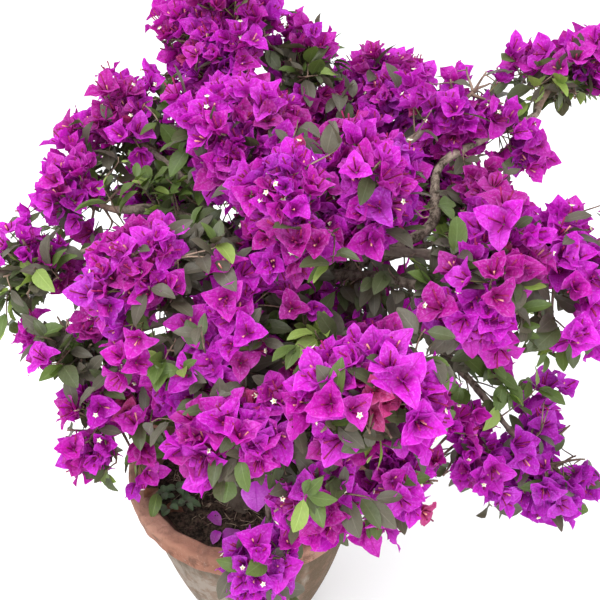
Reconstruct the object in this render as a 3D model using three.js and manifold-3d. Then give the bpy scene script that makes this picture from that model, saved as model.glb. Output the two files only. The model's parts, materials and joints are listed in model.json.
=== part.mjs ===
// Bougainvillea bush in its clay pot: trunk, boughs, masses of blossom and leaves, pot and soil.
// Millimetres, +Z up. The origin is the centre of the pot's flat underside. +X is the bush's right
// and -Y its front.
import * as THREE from "three";
import { mergeVertices } from "three/addons/utils/BufferGeometryUtils.js";
import Module from "manifold-3d";

const wasm = await Module();
wasm.setup();

const CLEARANCE = 0.3; // between two pieces that meet
const SEED = 11; // of the boughs' random draws
const MASS_SEED = 111; // and of the masses'
const CURVE_TENSION = 0.5; // of the curves through given points
const UP = new THREE.Vector3(0, 0, 1);

// Pot: a wall round a floor, under a thick band
const POT_HEIGHT = 300;
const POT_FLOOR = 24;
const POT_SIDES = 28;
const FOOT_RADIUS = 90;
const SHOULDER_RADIUS = 154; // where the wall meets the band
const WALL_BULGE = 9;
const WALL_STEPS = 4;
const WALL_THICKNESS = 20;
const BAND_RADIUS = 175;
const BAND_DEPTH = 40;
const BAND_ROUND = 8;
const BAND_LEAN = 2; // its foot stands in from its top
const BAND_DROP = 1; // its underside rises outward
const MOUTH_RADIUS = 152;
const DRAIN_RADIUS = 9;
const DRAIN_REACH = 45; // from the pot's middle to a drain hole's
const DRAINS = 3;
const DRAIN_SIDES = 10;
const POT_MARGIN = 1.3; // kept clear of the plant round the pot and over the soil

// Soil: fills the pot to below the lip, with a level middle that the trunk stands on
const SOIL_TOP = 270;
const SOIL_EDGE_DROP = 8;
const SOIL_LEVEL_RADIUS = 62;
const SOIL_GAP = 0.4;

// Trunk: its centre line from just under the soil's surface to its tip
const TRUNK_LINE = [
  [-10, -30, 255],
  [2, -16, 325],
  [26, 12, 415],
  [42, 38, 515],
  [36, 56, 615],
  [6, 70, 735],
];
const TRUNK_RADIUS = 28;
const TRUNK_TIP_RADIUS = 8;
const TRUNK_FLARE = 14; // added to the radius at the soil
const FLARE_SHARE = 0.12; // of the trunk's length
const ROOT_LOBES = 4;
const ROOT_LOBE_DEPTH = 0.35; // as a share of the flare
const TRUNK_SIDES = 12;
const TRUNK_RINGS = 12;

// Boughs
const BOUGH_SIDES = 5;
const BOUGH_RINGS = 5;
const BENT_BOUGH_RINGS = 12; // for a bough that passes given points
const BOUGH_TIP_SHARE = 0.45; // of the radius at its foot
const BOUGH_TAPER = 0.8; // power of the share of its length; under 1 it thins sooner
const BOUGH_BENDS = [0.3, 0.68]; // shares of its length at which its arch and wobble are set
const BOUGH_WOBBLE = 0.06; // sideways, as a share of its length
const ENTRY_SHARE = 0.72; // of a mass's radius, from its middle to its bough's tip

// Masses: twigs on one stem, with a spray of blossom at each tip and leaves along the way
const CROWN_HEART = new THREE.Vector3(30, 60, 540);
const FULLNESS = 1.28; // how far the masses swell inward from their outer faces, to meet each other
const STEM_RADIUS = 5;
const STEM_TIP_RADIUS = 3.5;
const STEM_SIDES = 4;
const STEM_REACH = 0.34; // past the mass's middle, as a share of its radius
const TWIG_RADIUS = 2;
const TWIG_SIDES = 3;
const TWIG_RINGS = 2; // on stems too
const TWIG_FEET = [0.3, 0.97]; // first and last share of the stem's length that bears a twig
const TWIG_DIRECTIONS = 22; // tried on each mass, the most outward first
const TWIGS = 7; // at most, on each mass
const TWIG_BEND = 0.3; // length of its curve's handles, as a share of its length
const SIDE_SPRAYS = 8; // at most, beside the twigs of each mass
const SMALL_BLADE = 0.72; // size of a spray or leaf where the full one finds no room
const SPRAY_RADIUS = 54;
const SPRAY_TOP = 0.23; // rise of its middle over its twig, as a share of its radius
const SPRAY_HEART = 0.22; // thickness in the middle
const SPRAY_DROOP = 0.16; // fall of its three tips below its twig
const SPRAY_OFFSET = 0.18; // from its middle to its twig
const FACING_OUTWARD = 0.2; // how far a spray turns from its twig's direction to the crown's outside
const FACING_UP = 0.1; // and upward
const FACING_SCATTER = 0.2; // and any way, by chance
const SPRAY_TRIES = [
  // reach as a share of the mass's radius, and size as a share of the full one, tried in turn
  [0.86, 1],
  [0.74, 1],
  [0.84, 0.8],
  [0.7, 0.8],
  [0.8, 0.66],
];
const SIDE_TRIES = 50;
const SIDE_SEAT = 1; // from a twig's centre line to the seat of a spray at its side
const SIDE_FEET = [0.45, 0.9]; // shares of a twig's length that bear leaves and side sprays
const SIDE_FORWARD = 0.45; // how far these lean along the twig
const SIDE_OUTWARD = 0.3; // and toward the crown's outside
const LEAVES = 4; // at most, on each mass
const LEAF_LENGTH = 84;
const LEAF_WIDTH = 44;
const LEAF_THICKNESS = 2.6;
const LEAF_WIDEST = 0.42; // from the base, as a share of the length
const LEAF_TRIES = 60;
const ROOT_DEPTH = 2.2; // from a twig's centre line to the base of a leaf behind it
const SPACE_MARGIN = 1; // from the plane between two masses
const SPACE_SLACK = 1.1; // how far a tip may pass the mass's rounded outline, as a share

// Each mass: its middle by azimuth (0 is +X, 90 is the back), reach and height, its three radii
// (outward, sideways, upward), and the bough that carries it: the limb it grows from, the share of
// that limb's length, its radius there, its arch, and points that it passes, if it is bent.
const MASSES = [
  { name: "upper_front", azimuth: 89, reach: 72, height: 786, radii: [66, 88, 62] },
  { name: "crown_top", azimuth: 97, reach: 290, height: 822, radii: [75, 90, 70],
    from: "trunk", at: 0.72, radius: 12, arch: 10 },
  { name: "arm_tip", azimuth: 32, reach: 535, height: 782, radii: [86, 62, 60],
    from: "trunk", at: 0.55, radius: 9.5, arch: 0,
    passes: [[118, 42, 590], [190, 55, 622], [240, 84, 644], [250, 140, 689], [300, 180, 706],
      [384, 225, 724]] },
  { name: "left_shoulder", azimuth: 149, reach: 273, height: 660, radii: [62, 64, 66],
    from: "trunk", at: 0.6, radius: 12, arch: 60 },
  { name: "right_front", azimuth: -26, reach: 302, height: 690, radii: [68, 72, 66],
    from: "trunk", at: 0.64, radius: 11, arch: 20 },
  { name: "front_centre", azimuth: -59, reach: 273, height: 632, radii: [62, 72, 60],
    from: "trunk", at: 0.52, radius: 10, arch: 30 },
  { name: "back_centre", azimuth: 85, reach: 420, height: 620, radii: [75, 92, 82],
    from: "trunk", at: 0.5, radius: 12, arch: 40 },
  { name: "left_front", azimuth: -142, reach: 132, height: 674, radii: [70, 72, 66],
    from: "trunk", at: 0.78, radius: 9, arch: 0, passes: [[-10, 30, 648], [-58, 12, 636]] },
  { name: "crown_top_right", azimuth: 77, reach: 310, height: 778, radii: [70, 72, 62],
    from: "crown_top", at: 0.42, radius: 8, arch: 0 },
  { name: "back_right_top", azimuth: 57, reach: 386, height: 724, radii: [80, 86, 64],
    from: "trunk", at: 0.66, radius: 10, arch: 20 },
  { name: "left_upper", azimuth: 128, reach: 289, height: 728, radii: [66, 68, 68],
    from: "left_shoulder", at: 0.4, radius: 8, arch: 20 },
  { name: "left_tip", azimuth: 171, reach: 282, height: 605, radii: [54, 60, 60],
    from: "left_shoulder", at: 0.5, radius: 8, arch: 20 },
  { name: "left_droop", azimuth: -175, reach: 233, height: 522, radii: [62, 66, 64],
    from: "trunk", at: 0.46, radius: 9, arch: 60 },
  { name: "left_skirt", azimuth: -161, reach: 200, height: 428, radii: [64, 80, 76],
    from: "trunk", at: 0.36, radius: 9, arch: 90 },
  { name: "centre", azimuth: -44, reach: 98, height: 762, radii: [66, 66, 66],
    from: "trunk", at: 0.84, radius: 8, arch: 0 },
  { name: "centre_right", azimuth: -15, reach: 158, height: 765, radii: [62, 62, 68],
    from: "arm_tip", at: 0.14, radius: 8, arch: 0 },
  { name: "centre_low", azimuth: -100, reach: 132, height: 600, radii: [66, 80, 72],
    from: "trunk", at: 0.6, radius: 8, arch: 10 },
  { name: "front_left", azimuth: -84, reach: 201, height: 543, radii: [62, 88, 66],
    from: "trunk", at: 0.44, radius: 9, arch: 50 },
  { name: "front_low", azimuth: -68, reach: 240, height: 475, radii: [55, 64, 58],
    from: "trunk", at: 0.32, radius: 9, arch: 80 },
  { name: "pot_drape", azimuth: -83, reach: 224, height: 330, radii: [38, 50, 72],
    from: "front_low", at: 0.6, radius: 6, arch: 45 },
  { name: "front_right_low", azimuth: -46, reach: 274, height: 461, radii: [54, 54, 66],
    from: "front_centre", at: 0.5, radius: 7, arch: 10 },
  { name: "right_droop", azimuth: -14, reach: 312, height: 389, radii: [58, 60, 72],
    from: "trunk", at: 0.4, radius: 10, arch: 150 },
  { name: "right_side", azimuth: -12, reach: 382, height: 685, radii: [58, 62, 82],
    from: "trunk", at: 0.7, radius: 10, arch: 30 },
  { name: "right_skirt", azimuth: -8, reach: 416, height: 345, radii: [66, 66, 95],
    from: "right_droop", at: 0.45, radius: 8, arch: 60 },
  { name: "right_shoulder", azimuth: 15, reach: 338, height: 645, radii: [64, 64, 82],
    from: "arm_tip", at: 0.2, radius: 8, arch: 0 },
  { name: "arm_middle", azimuth: 36, reach: 370, height: 762, radii: [62, 62, 56],
    from: "trunk", at: 0.76, radius: 9, arch: 20 },
  { name: "back_left", azimuth: 113, reach: 335, height: 585, radii: [76, 84, 82],
    from: "trunk", at: 0.42, radius: 11, arch: 60 },
  { name: "back_right", azimuth: 50, reach: 430, height: 560, radii: [78, 94, 86],
    from: "back_centre", at: 0.28, radius: 9, arch: 30 },
  { name: "back_low", azimuth: 95, reach: 330, height: 430, radii: [78, 92, 80],
    from: "trunk", at: 0.33, radius: 10, arch: 90 },
];

const material = (color, roughness) =>
  new THREE.MeshStandardMaterial({ color, roughness, metalness: 0, flatShading: true });
const CLAY = material(0xb08a74, 0.9);
const EARTH = material(0x3a2c22, 1.0);
const BARK = material(0x7d7062, 0.9);
const BLOSSOM = material(0xb8129f, 0.7);

const vector = ([x, y, z]) => new THREE.Vector3(x, y, z);
const mix = THREE.MathUtils.lerp;

// A source of numbers from 0 to 1 that repeats for the same seed.
function randomFrom(seed) {
  let state = seed >>> 0;
  return () => {
    state = (state + 0x6d2b79f5) >>> 0;
    let t = Math.imul(state ^ (state >>> 15), state | 1);
    t = (t + Math.imul(t ^ (t >>> 7), t | 61)) ^ t;
    return ((t ^ (t >>> 14)) >>> 0) / 4294967296;
  };
}

// Geometry with its places only, and each place once.
function bare(geometry) {
  geometry.deleteAttribute("normal");
  geometry.deleteAttribute("uv");
  return mergeVertices(geometry);
}

function solidOf(geometry) {
  return new wasm.Manifold(
    new wasm.Mesh({
      numProp: 3,
      vertProperties: new Float32Array(geometry.attributes.position.array),
      triVerts: new Uint32Array(geometry.index.array),
    }),
  );
}

function meshOf(name, solid, look) {
  const { vertProperties, triVerts } = solid.getMesh();
  const geometry = new THREE.BufferGeometry();
  geometry.setAttribute("position", new THREE.BufferAttribute(vertProperties, 3));
  geometry.setIndex(new THREE.BufferAttribute(triVerts, 1));
  const mesh = new THREE.Mesh(geometry, look);
  mesh.name = name;
  return mesh;
}

const join = (solids) => solids.reduce((sum, solid) => sum.add(solid));
const largest = (solid) =>
  solid.decompose().reduce((a, b) => (a.volume() > b.volume() ? a : b));

// A solid of revolution about Z from a profile of [radius, height] pairs that starts and ends on
// the axis, going outward at the bottom.
function turned(profile) {
  const points = profile.map(([radius, height]) => new THREE.Vector2(radius, height));
  return bare(new THREE.LatheGeometry(points, POT_SIDES).rotateX(Math.PI / 2));
}

// The pot's outer wall, from its foot to the band: a straight taper with a slight belly.
function wallProfile(inset, from, to) {
  return Array.from({ length: WALL_STEPS + 1 }, (_, i) => {
    const height = mix(from, to, i / WALL_STEPS);
    const rise = height / (POT_HEIGHT - BAND_DEPTH);
    const belly = WALL_BULGE * Math.sin(Math.PI * rise);
    return [mix(FOOT_RADIUS, SHOULDER_RADIUS, rise) + belly - inset, height];
  });
}

function potSolid() {
  const bandFoot = POT_HEIGHT - BAND_DEPTH;
  const outside = [
    ...wallProfile(0, 0, bandFoot),
    [BAND_RADIUS - BAND_ROUND, bandFoot + BAND_DROP],
    [BAND_RADIUS - BAND_LEAN, bandFoot + BAND_ROUND],
    [BAND_RADIUS, POT_HEIGHT - BAND_ROUND],
    [BAND_RADIUS - BAND_ROUND, POT_HEIGHT],
    [MOUTH_RADIUS + BAND_ROUND / 2, POT_HEIGHT],
    [MOUTH_RADIUS, POT_HEIGHT - BAND_ROUND],
  ];
  const inside = wallProfile(WALL_THICKNESS, POT_FLOOR, bandFoot).reverse();
  let pot = solidOf(turned([[0, 0], ...outside, ...inside, [0, POT_FLOOR]]));
  for (let i = 0; i < DRAINS; i++) {
    const angle = (2 * Math.PI * (i + 0.5)) / DRAINS;
    const depth = 4 * POT_FLOOR;
    const drill = new THREE.CylinderGeometry(DRAIN_RADIUS, DRAIN_RADIUS, depth, DRAIN_SIDES);
    drill.rotateX(Math.PI / 2);
    drill.translate(DRAIN_REACH * Math.cos(angle), DRAIN_REACH * Math.sin(angle), 0);
    pot = pot.subtract(solidOf(bare(drill)));
  }
  return pot;
}

function soilSolid() {
  const bandFoot = POT_HEIGHT - BAND_DEPTH;
  const wall = wallProfile(WALL_THICKNESS + SOIL_GAP, POT_FLOOR, bandFoot);
  wall[0][1] += SOIL_GAP;
  const edge = SOIL_TOP - SOIL_EDGE_DROP;
  const slope = (edge - bandFoot) / (BAND_DEPTH - BAND_ROUND);
  const edgeRadius = mix(SHOULDER_RADIUS - WALL_THICKNESS, MOUTH_RADIUS, slope) - SOIL_GAP;
  const profile = [
    [0, POT_FLOOR + SOIL_GAP],
    ...wall,
    [edgeRadius, edge],
    [SOIL_LEVEL_RADIUS, SOIL_TOP],
    [0, SOIL_TOP],
  ];
  return solidOf(turned(profile));
}

// The room that the pot fills, with its inside, which nothing on the plant may enter.
function potRoom() {
  const profile = [
    [0, 0],
    [BAND_RADIUS - BAND_ROUND, 0],
    [BAND_RADIUS + POT_MARGIN, POT_HEIGHT - BAND_DEPTH],
    [BAND_RADIUS + POT_MARGIN, POT_HEIGHT],
    [MOUTH_RADIUS, POT_HEIGHT + POT_MARGIN],
    [MOUTH_RADIUS - WALL_THICKNESS, SOIL_TOP + POT_MARGIN],
    [0, SOIL_TOP + POT_MARGIN],
  ];
  return solidOf(turned(profile));
}

const curveThrough = (points) =>
  new THREE.CatmullRomCurve3(points, false, "catmullrom", CURVE_TENSION);

// A closed tube that follows a curve: a cylinder whose rings are set square to the curve.
function tube(curve, sides, rings, radiusAt) {
  const shape = bare(new THREE.CylinderGeometry(1, 1, 1, sides, rings));
  const { normals, binormals } = curve.computeFrenetFrames(rings);
  const place = shape.attributes.position;
  for (let i = 0; i < place.count; i++) {
    const ring = Math.round((place.getY(i) + 0.5) * rings);
    const radius = radiusAt(ring / rings, Math.atan2(place.getX(i), place.getZ(i)));
    const point = curve.getPointAt(ring / rings);
    point.addScaledVector(binormals[ring], place.getX(i) * radius);
    point.addScaledVector(normals[ring], place.getZ(i) * radius);
    place.setXYZ(i, point.x, point.y, point.z);
  }
  return shape;
}

// A limb keeps its curve and radius, so that others can grow from it and stay clear of it.
function makeLimb(curve, sides, rings, radiusAt) {
  const solid = solidOf(tube(curve, sides, rings, radiusAt));
  const room = solidOf(tube(curve, sides, rings, (t, angle) => radiusAt(t, angle) + CLEARANCE));
  return { curve, solid, room };
}

function makeTrunk() {
  const curve = curveThrough(TRUNK_LINE.map(vector));
  const radiusAt = (t, angle) => {
    const flare = Math.max(0, 1 - t / FLARE_SHARE) ** 2;
    const lobes = 1 + ROOT_LOBE_DEPTH * Math.cos(ROOT_LOBES * angle);
    return mix(TRUNK_RADIUS, TRUNK_TIP_RADIUS, t) + TRUNK_FLARE * flare * lobes;
  };
  const trunk = makeLimb(curve, TRUNK_SIDES, TRUNK_RINGS, radiusAt);
  const under = new THREE.BoxGeometry(4 * BAND_RADIUS, 4 * BAND_RADIUS, SOIL_TOP);
  under.translate(0, 0, SOIL_TOP / 2 + CLEARANCE);
  trunk.solid = trunk.solid.subtract(solidOf(bare(under)));
  return trunk;
}

// The rounded space of a mass: its middle, its own three directions and its radii along them.
function spaceOf(mass) {
  const azimuth = THREE.MathUtils.degToRad(mass.azimuth);
  const outward = new THREE.Vector3(Math.cos(azimuth), Math.sin(azimuth), 0);
  const middle = outward.clone().multiplyScalar(mass.reach).setZ(mass.height);
  const directions = [outward, new THREE.Vector3().crossVectors(UP, outward), UP];
  const space = { middle, directions, radii: mass.radii };
  const inward = CROWN_HEART.clone().sub(middle).normalize();
  middle.addScaledVector(inward, (FULLNESS - 1) * radiusToward(space, inward));
  space.radii = mass.radii.map((radius) => radius * FULLNESS);
  return space;
}

// How far the rounded outline of a space lies from its middle in a direction.
function radiusToward(space, direction) {
  const parts = space.directions.map((axis, i) => direction.dot(axis) / space.radii[i]);
  return 1 / Math.hypot(...parts);
}

// The planes that part a space from its neighbours, each nearer to the smaller of the two.
function wallsOf(space, spaces) {
  return spaces
    .filter((other) => other !== space)
    .map((other) => {
      const normal = other.middle.clone().sub(space.middle);
      const distance = normal.length();
      normal.normalize();
      const own = radiusToward(space, normal);
      const theirs = radiusToward(other, normal);
      const share = (distance ** 2 + own ** 2 - theirs ** 2) / (2 * distance);
      return { normal, limit: share - SPACE_MARGIN };
    });
}

function isInside(space, walls, geometry) {
  const place = geometry.attributes.position;
  return Array.from({ length: place.count }, (_, i) =>
    new THREE.Vector3().fromBufferAttribute(place, i).sub(space.middle),
  ).every(
    (point) =>
      point.length() <= SPACE_SLACK * radiusToward(space, point.clone().normalize()) &&
      walls.every((wall) => point.dot(wall.normal) <= wall.limit),
  );
}

// A bough rises from its limb, arches, and comes into its mass toward the middle.
function makeBough(mass, limb, space, random) {
  const foot = limb.curve.getPointAt(mass.at);
  const passes = (mass.passes ?? []).map(vector);
  const above = (passes.at(-1) ?? foot).clone().addScaledVector(UP, mass.arch);
  const inward = space.middle.clone().sub(above).normalize();
  const depth = ENTRY_SHARE * radiusToward(space, inward);
  const entry = space.middle.clone().addScaledVector(inward, -depth);
  if (!mass.passes) {
    const sideways = new THREE.Vector3().subVectors(entry, foot).cross(UP).normalize();
    for (const share of BOUGH_BENDS) {
      const point = foot.clone().lerp(entry, share);
      point.addScaledVector(UP, mass.arch * Math.sin(Math.PI * share ** BOUGH_TAPER));
      point.addScaledVector(sideways, foot.distanceTo(entry) * BOUGH_WOBBLE * (2 * random() - 1));
      passes.push(point);
    }
  }
  const curve = curveThrough([foot, ...passes, entry]);
  const rings = mass.passes ? BENT_BOUGH_RINGS : BOUGH_RINGS;
  const radiusAt = (t) => mass.radius * mix(1, BOUGH_TIP_SHARE, t ** BOUGH_TAPER);
  return makeLimb(curve, BOUGH_SIDES, rings, radiusAt);
}

// A spray of blossom in the rough: a low dome with three bract tips, 6 faces. Its twig's tip is
// at its base point, between two of the tips.
function sprayShape(base, facing, turn, size) {
  const shape = bare(new THREE.SphereGeometry(1, 3, 2).rotateX(Math.PI / 2));
  const place = shape.attributes.position;
  for (let i = 0; i < place.count; i++) {
    const [x, y, z] = [place.getX(i), place.getY(i), place.getZ(i)];
    const isTip = Math.abs(z) < 0.5;
    const height = z > 0 ? SPRAY_TOP : SPRAY_TOP - SPRAY_HEART;
    place.setXYZ(i, isTip ? x : 0, isTip ? y : 0, isTip ? -SPRAY_DROOP : height);
  }
  shape.translate(-SPRAY_OFFSET, 0, 0);
  shape.rotateZ(turn);
  const radius = SPRAY_RADIUS * size;
  shape.scale(radius, radius, radius);
  shape.applyQuaternion(new THREE.Quaternion().setFromUnitVectors(UP, facing));
  return shape.translate(base.x, base.y, base.z);
}

// A leaf in the rough: a flat eight-faced blade from its base along a direction, face upward.
function leafShape(base, along, size) {
  const shape = bare(new THREE.OctahedronGeometry(1));
  const across = new THREE.Vector3().crossVectors(UP, along).normalize();
  const face = new THREE.Vector3().crossVectors(along, across);
  const place = shape.attributes.position;
  for (let i = 0; i < place.count; i++) {
    const reach = Math.abs(place.getX(i)) < 0.5 ? LEAF_WIDEST : place.getX(i) > 0 ? 1 : 0;
    const point = base.clone();
    point.addScaledVector(along, LEAF_LENGTH * size * reach);
    point.addScaledVector(across, (place.getY(i) * LEAF_WIDTH * size) / 2);
    point.addScaledVector(face, (place.getZ(i) * LEAF_THICKNESS) / 2);
    place.setXYZ(i, point.x, point.y, point.z);
  }
  return shape;
}

// Directions spread evenly over a ball, by the golden angle, turned by a seeded angle.
function spreadDirections(count, turn) {
  return Array.from({ length: count }, (_, i) => {
    const height = 1 - (2 * (i + 0.5)) / count;
    const angle = Math.PI * (1 + Math.sqrt(5)) * i + turn;
    const width = Math.sqrt(1 - height ** 2);
    return new THREE.Vector3(width * Math.cos(angle), width * Math.sin(angle), height);
  });
}

function scatter(random, amount) {
  const spread = () => amount * (2 * random() - 1);
  return new THREE.Vector3(spread(), spread(), spread());
}

// The stem of a mass carries on from its limb's tip through the mass's middle.
function stemCurve(space, limb, outward) {
  const heading = limb.curve.getTangentAt(1);
  const start = limb.curve.getPointAt(1).addScaledVector(heading, CLEARANCE);
  const end = space.middle.clone();
  end.addScaledVector(outward, STEM_REACH * radiusToward(space, outward));
  const bend = start.distanceTo(end) * TWIG_BEND;
  return new THREE.CubicBezierCurve3(
    start,
    start.clone().addScaledVector(heading, bend),
    end.clone().addScaledVector(outward, -bend),
    end,
  );
}

// A twig leaves its stem toward a direction and comes to its tip along its spray's facing.
function twigCurve(foot, direction, tip, facing) {
  const bend = foot.distanceTo(tip) * TWIG_BEND;
  return new THREE.CubicBezierCurve3(
    foot,
    foot.clone().addScaledVector(direction, bend),
    tip.clone().addScaledVector(facing, -bend),
    tip,
  );
}

// A mass: one stem, twigs from it toward the outline with a spray of blossom on each tip, then
// leaves and more sprays beside the twigs. What would leave the space, touch a limb or cut through
// another piece is skipped.
function makeMass(space, walls, limb, keepOut, random) {
  const outward = space.middle.clone().sub(CROWN_HEART).normalize();
  const stem = stemCurve(space, limb, outward);
  const axis = stem.v3.clone().sub(stem.v0).normalize();
  const stemRadius = (t) => mix(STEM_RADIUS, STEM_TIP_RADIUS, t);
  const stemSolid = solidOf(tube(stem, STEM_SIDES, TWIG_RINGS, stemRadius));
  const blades = [];
  const twigs = [];
  const fits = (shape, others) => {
    if (!isInside(space, walls, shape)) return false;
    const solid = solidOf(shape);
    return [keepOut, ...others].every((other) => solid.intersect(other).isEmpty());
  };
  const woodBut = (own) => [stemSolid, ...twigs.filter((t) => t !== own).map((t) => t.solid)];

  const directions = spreadDirections(TWIG_DIRECTIONS, 2 * Math.PI * random());
  directions.sort((a, b) => b.dot(outward) - a.dot(outward));
  for (const direction of directions) {
    const facing = direction.clone().addScaledVector(outward, FACING_OUTWARD);
    facing.addScaledVector(UP, FACING_UP).add(scatter(random, FACING_SCATTER)).normalize();
    const turn = 2 * Math.PI * random();
    const foot = stem.getPointAt(mix(...TWIG_FEET, 0.5 + 0.5 * direction.dot(axis)));
    for (const [reach, size] of SPRAY_TRIES) {
      const tip = space.middle.clone();
      tip.addScaledVector(direction, reach * radiusToward(space, direction));
      const curve = twigCurve(foot, direction, tip, facing);
      const shape = tube(curve, TWIG_SIDES, TWIG_RINGS, () => TWIG_RADIUS);
      const spray = sprayShape(tip, facing, turn, size);
      if (!fits(spray, [...woodBut(null), ...blades]) || !fits(shape, blades)) continue;
      twigs.push({ curve, solid: solidOf(shape) });
      blades.push(solidOf(spray));
      break;
    }
    if (twigs.length >= TWIGS) break;
  }

  const growBeside = (count, tries, make) => {
    let grown = 0;
    for (let i = 0; i < tries && grown < count; i++) {
      const twig = twigs[i % twigs.length];
      const share = mix(...SIDE_FEET, random());
      const forward = twig.curve.getTangentAt(share);
      const aside = scatter(random, 1).cross(forward).normalize();
      aside.addScaledVector(forward, SIDE_FORWARD).addScaledVector(outward, SIDE_OUTWARD);
      aside.normalize();
      const blade = make(twig.curve.getPointAt(share), aside, i < tries / 2 ? 1 : SMALL_BLADE);
      if (!fits(blade, [...woodBut(twig), ...blades])) continue;
      blades.push(solidOf(blade));
      grown += 1;
    }
  };
  growBeside(LEAVES, LEAF_TRIES, (point, aside, size) =>
    leafShape(point.addScaledVector(aside, -ROOT_DEPTH), aside, size),
  );
  growBeside(SIDE_SPRAYS, SIDE_TRIES, (point, aside, size) =>
    sprayShape(point.addScaledVector(aside, SIDE_SEAT), aside, 2 * Math.PI * random(), size),
  );
  return largest(join([stemSolid, ...twigs.map((twig) => twig.solid), ...blades]));
}

const bush = new THREE.Group();
bush.add(meshOf("pot", potSolid(), CLAY));
bush.add(meshOf("soil", soilSolid(), EARTH));

const limbs = new Map([["trunk", makeTrunk()]]);
bush.add(meshOf("trunk", limbs.get("trunk").solid, BARK));
const spaces = MASSES.map(spaceOf);
let taken = limbs.get("trunk").room;
MASSES.forEach((mass, i) => {
  if (!mass.from) return;
  const bough = makeBough(mass, limbs.get(mass.from), spaces[i], randomFrom(SEED + i));
  limbs.set(mass.name, bough);
  bush.add(meshOf("bough_" + mass.name, largest(bough.solid.subtract(taken)), BARK));
  taken = taken.add(bough.room);
});
const keepOut = taken.add(potRoom());
MASSES.forEach((mass, i) => {
  const limb = limbs.get(mass.from ? mass.name : "trunk");
  const random = randomFrom(MASS_SEED + i);
  const solid = makeMass(spaces[i], wallsOf(spaces[i], spaces), limb, keepOut, random);
  bush.add(meshOf("mass_" + mass.name, solid, BLOSSOM));
});

export default bush;
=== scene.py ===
"""Looks of a bougainvillea bush in its clay pot, laid out as an add-on and run as a script.

The packed model is the frame. Trunk and boughs get bark relief, the masses become twigs, leaves and
blossom that grow by the same rule as the solids, and the pot and soil get their worn surfaces.
Metres, +Z up, with the origin at the centre of the pot's underside.
"""

import json
import math

import bpy
import numpy as np
from bpy.props import FloatProperty, FloatVectorProperty, IntProperty, PointerProperty
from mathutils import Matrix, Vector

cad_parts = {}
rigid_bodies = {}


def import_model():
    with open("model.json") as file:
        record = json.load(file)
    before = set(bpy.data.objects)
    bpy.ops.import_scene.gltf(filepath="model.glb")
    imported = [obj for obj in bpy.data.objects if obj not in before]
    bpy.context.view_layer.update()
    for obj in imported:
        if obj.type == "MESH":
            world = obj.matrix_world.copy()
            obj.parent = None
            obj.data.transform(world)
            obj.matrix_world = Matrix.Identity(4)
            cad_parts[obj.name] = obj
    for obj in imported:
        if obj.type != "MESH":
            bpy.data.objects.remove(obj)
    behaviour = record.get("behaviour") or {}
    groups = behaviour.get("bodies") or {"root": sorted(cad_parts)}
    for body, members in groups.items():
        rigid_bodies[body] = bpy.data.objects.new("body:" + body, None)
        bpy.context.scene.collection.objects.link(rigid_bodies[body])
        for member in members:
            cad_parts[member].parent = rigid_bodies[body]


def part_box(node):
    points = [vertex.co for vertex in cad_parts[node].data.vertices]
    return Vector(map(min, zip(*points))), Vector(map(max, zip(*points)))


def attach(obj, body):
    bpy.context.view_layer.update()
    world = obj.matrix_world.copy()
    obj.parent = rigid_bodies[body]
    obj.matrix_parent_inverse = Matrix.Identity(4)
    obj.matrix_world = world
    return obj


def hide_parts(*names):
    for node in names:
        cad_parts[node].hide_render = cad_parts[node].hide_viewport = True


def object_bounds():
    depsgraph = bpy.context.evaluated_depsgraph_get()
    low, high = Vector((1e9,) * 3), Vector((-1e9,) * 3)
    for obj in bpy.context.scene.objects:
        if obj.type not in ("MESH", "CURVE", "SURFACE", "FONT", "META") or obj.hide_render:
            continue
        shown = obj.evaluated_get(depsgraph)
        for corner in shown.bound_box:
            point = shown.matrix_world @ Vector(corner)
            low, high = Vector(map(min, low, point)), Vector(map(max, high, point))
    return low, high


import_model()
CAD_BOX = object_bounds()

bl_info = {
    "name": "Potted bougainvillea bush",
    "version": (1, 0, 0),
    "blender": (4, 5, 0),
    "location": "3D View > Sidebar > Bush",
    "description": "Grows a flowering bougainvillea bush in a weathered clay pot",
    "category": "Add Mesh",
}

MM = 0.001
TURN = 2 * math.pi
UP = np.array([0.0, 0.0, 1.0])
SIDE = np.array([1.0, 0.0, 0.0])
GOLDEN_TURN = math.pi * (1 + math.sqrt(5))

# Camera of the photograph, and its frame in pixels
CAMERA_PLACE = np.array([0.071, -0.825, 1.181])
CAMERA_PITCH = math.radians(36)
AHEAD = np.array([0, math.cos(CAMERA_PITCH), -math.sin(CAMERA_PITCH)])
DOWN = np.array([0, -math.sin(CAMERA_PITCH), -math.cos(CAMERA_PITCH)])
FIELD_OF_VIEW = math.radians(40)
PHOTO_MIDDLE = 300
FOCAL = PHOTO_MIDDLE / math.tan(FIELD_OF_VIEW / 2)

# The solids' own rule, in millimetres where it has lengths
CLEARANCE = 0.3
BOUGH_SEED = 11
MASS_SEED = 111
TRUNK_LINE = ((-10, -30, 255), (2, -16, 325), (26, 12, 415), (42, 38, 515), (36, 56, 615), (6, 70, 735))
TRUNK_RADIUS = 28
TRUNK_TIP_RADIUS = 8
TRUNK_FLARE = 14
FLARE_SHARE = 0.12
ROOT_LOBES = 4
ROOT_LOBE_DEPTH = 0.35
BOUGH_TIP_SHARE = 0.45
BOUGH_TAPER = 0.8
BOUGH_BENDS = (0.3, 0.68)
BOUGH_WOBBLE = 0.06
ENTRY_SHARE = 0.72
FULLNESS = 1.28
STEM_REACH = 0.34
TWIG_BEND = 0.3
TWIG_DIRECTIONS = 22
TWIG_FEET = (0.3, 0.97)
TWIG_REACH = 0.66
FACING_OUTWARD = 0.2
FACING_UP = 0.1
FACING_SCATTER = 0.2
SPACE_MARGIN = 1

# Points along a stem, a first twig and a fine twig
STEM_POINTS, TWIG_POINTS, FINE_POINTS = 24, 9, 6

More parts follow.
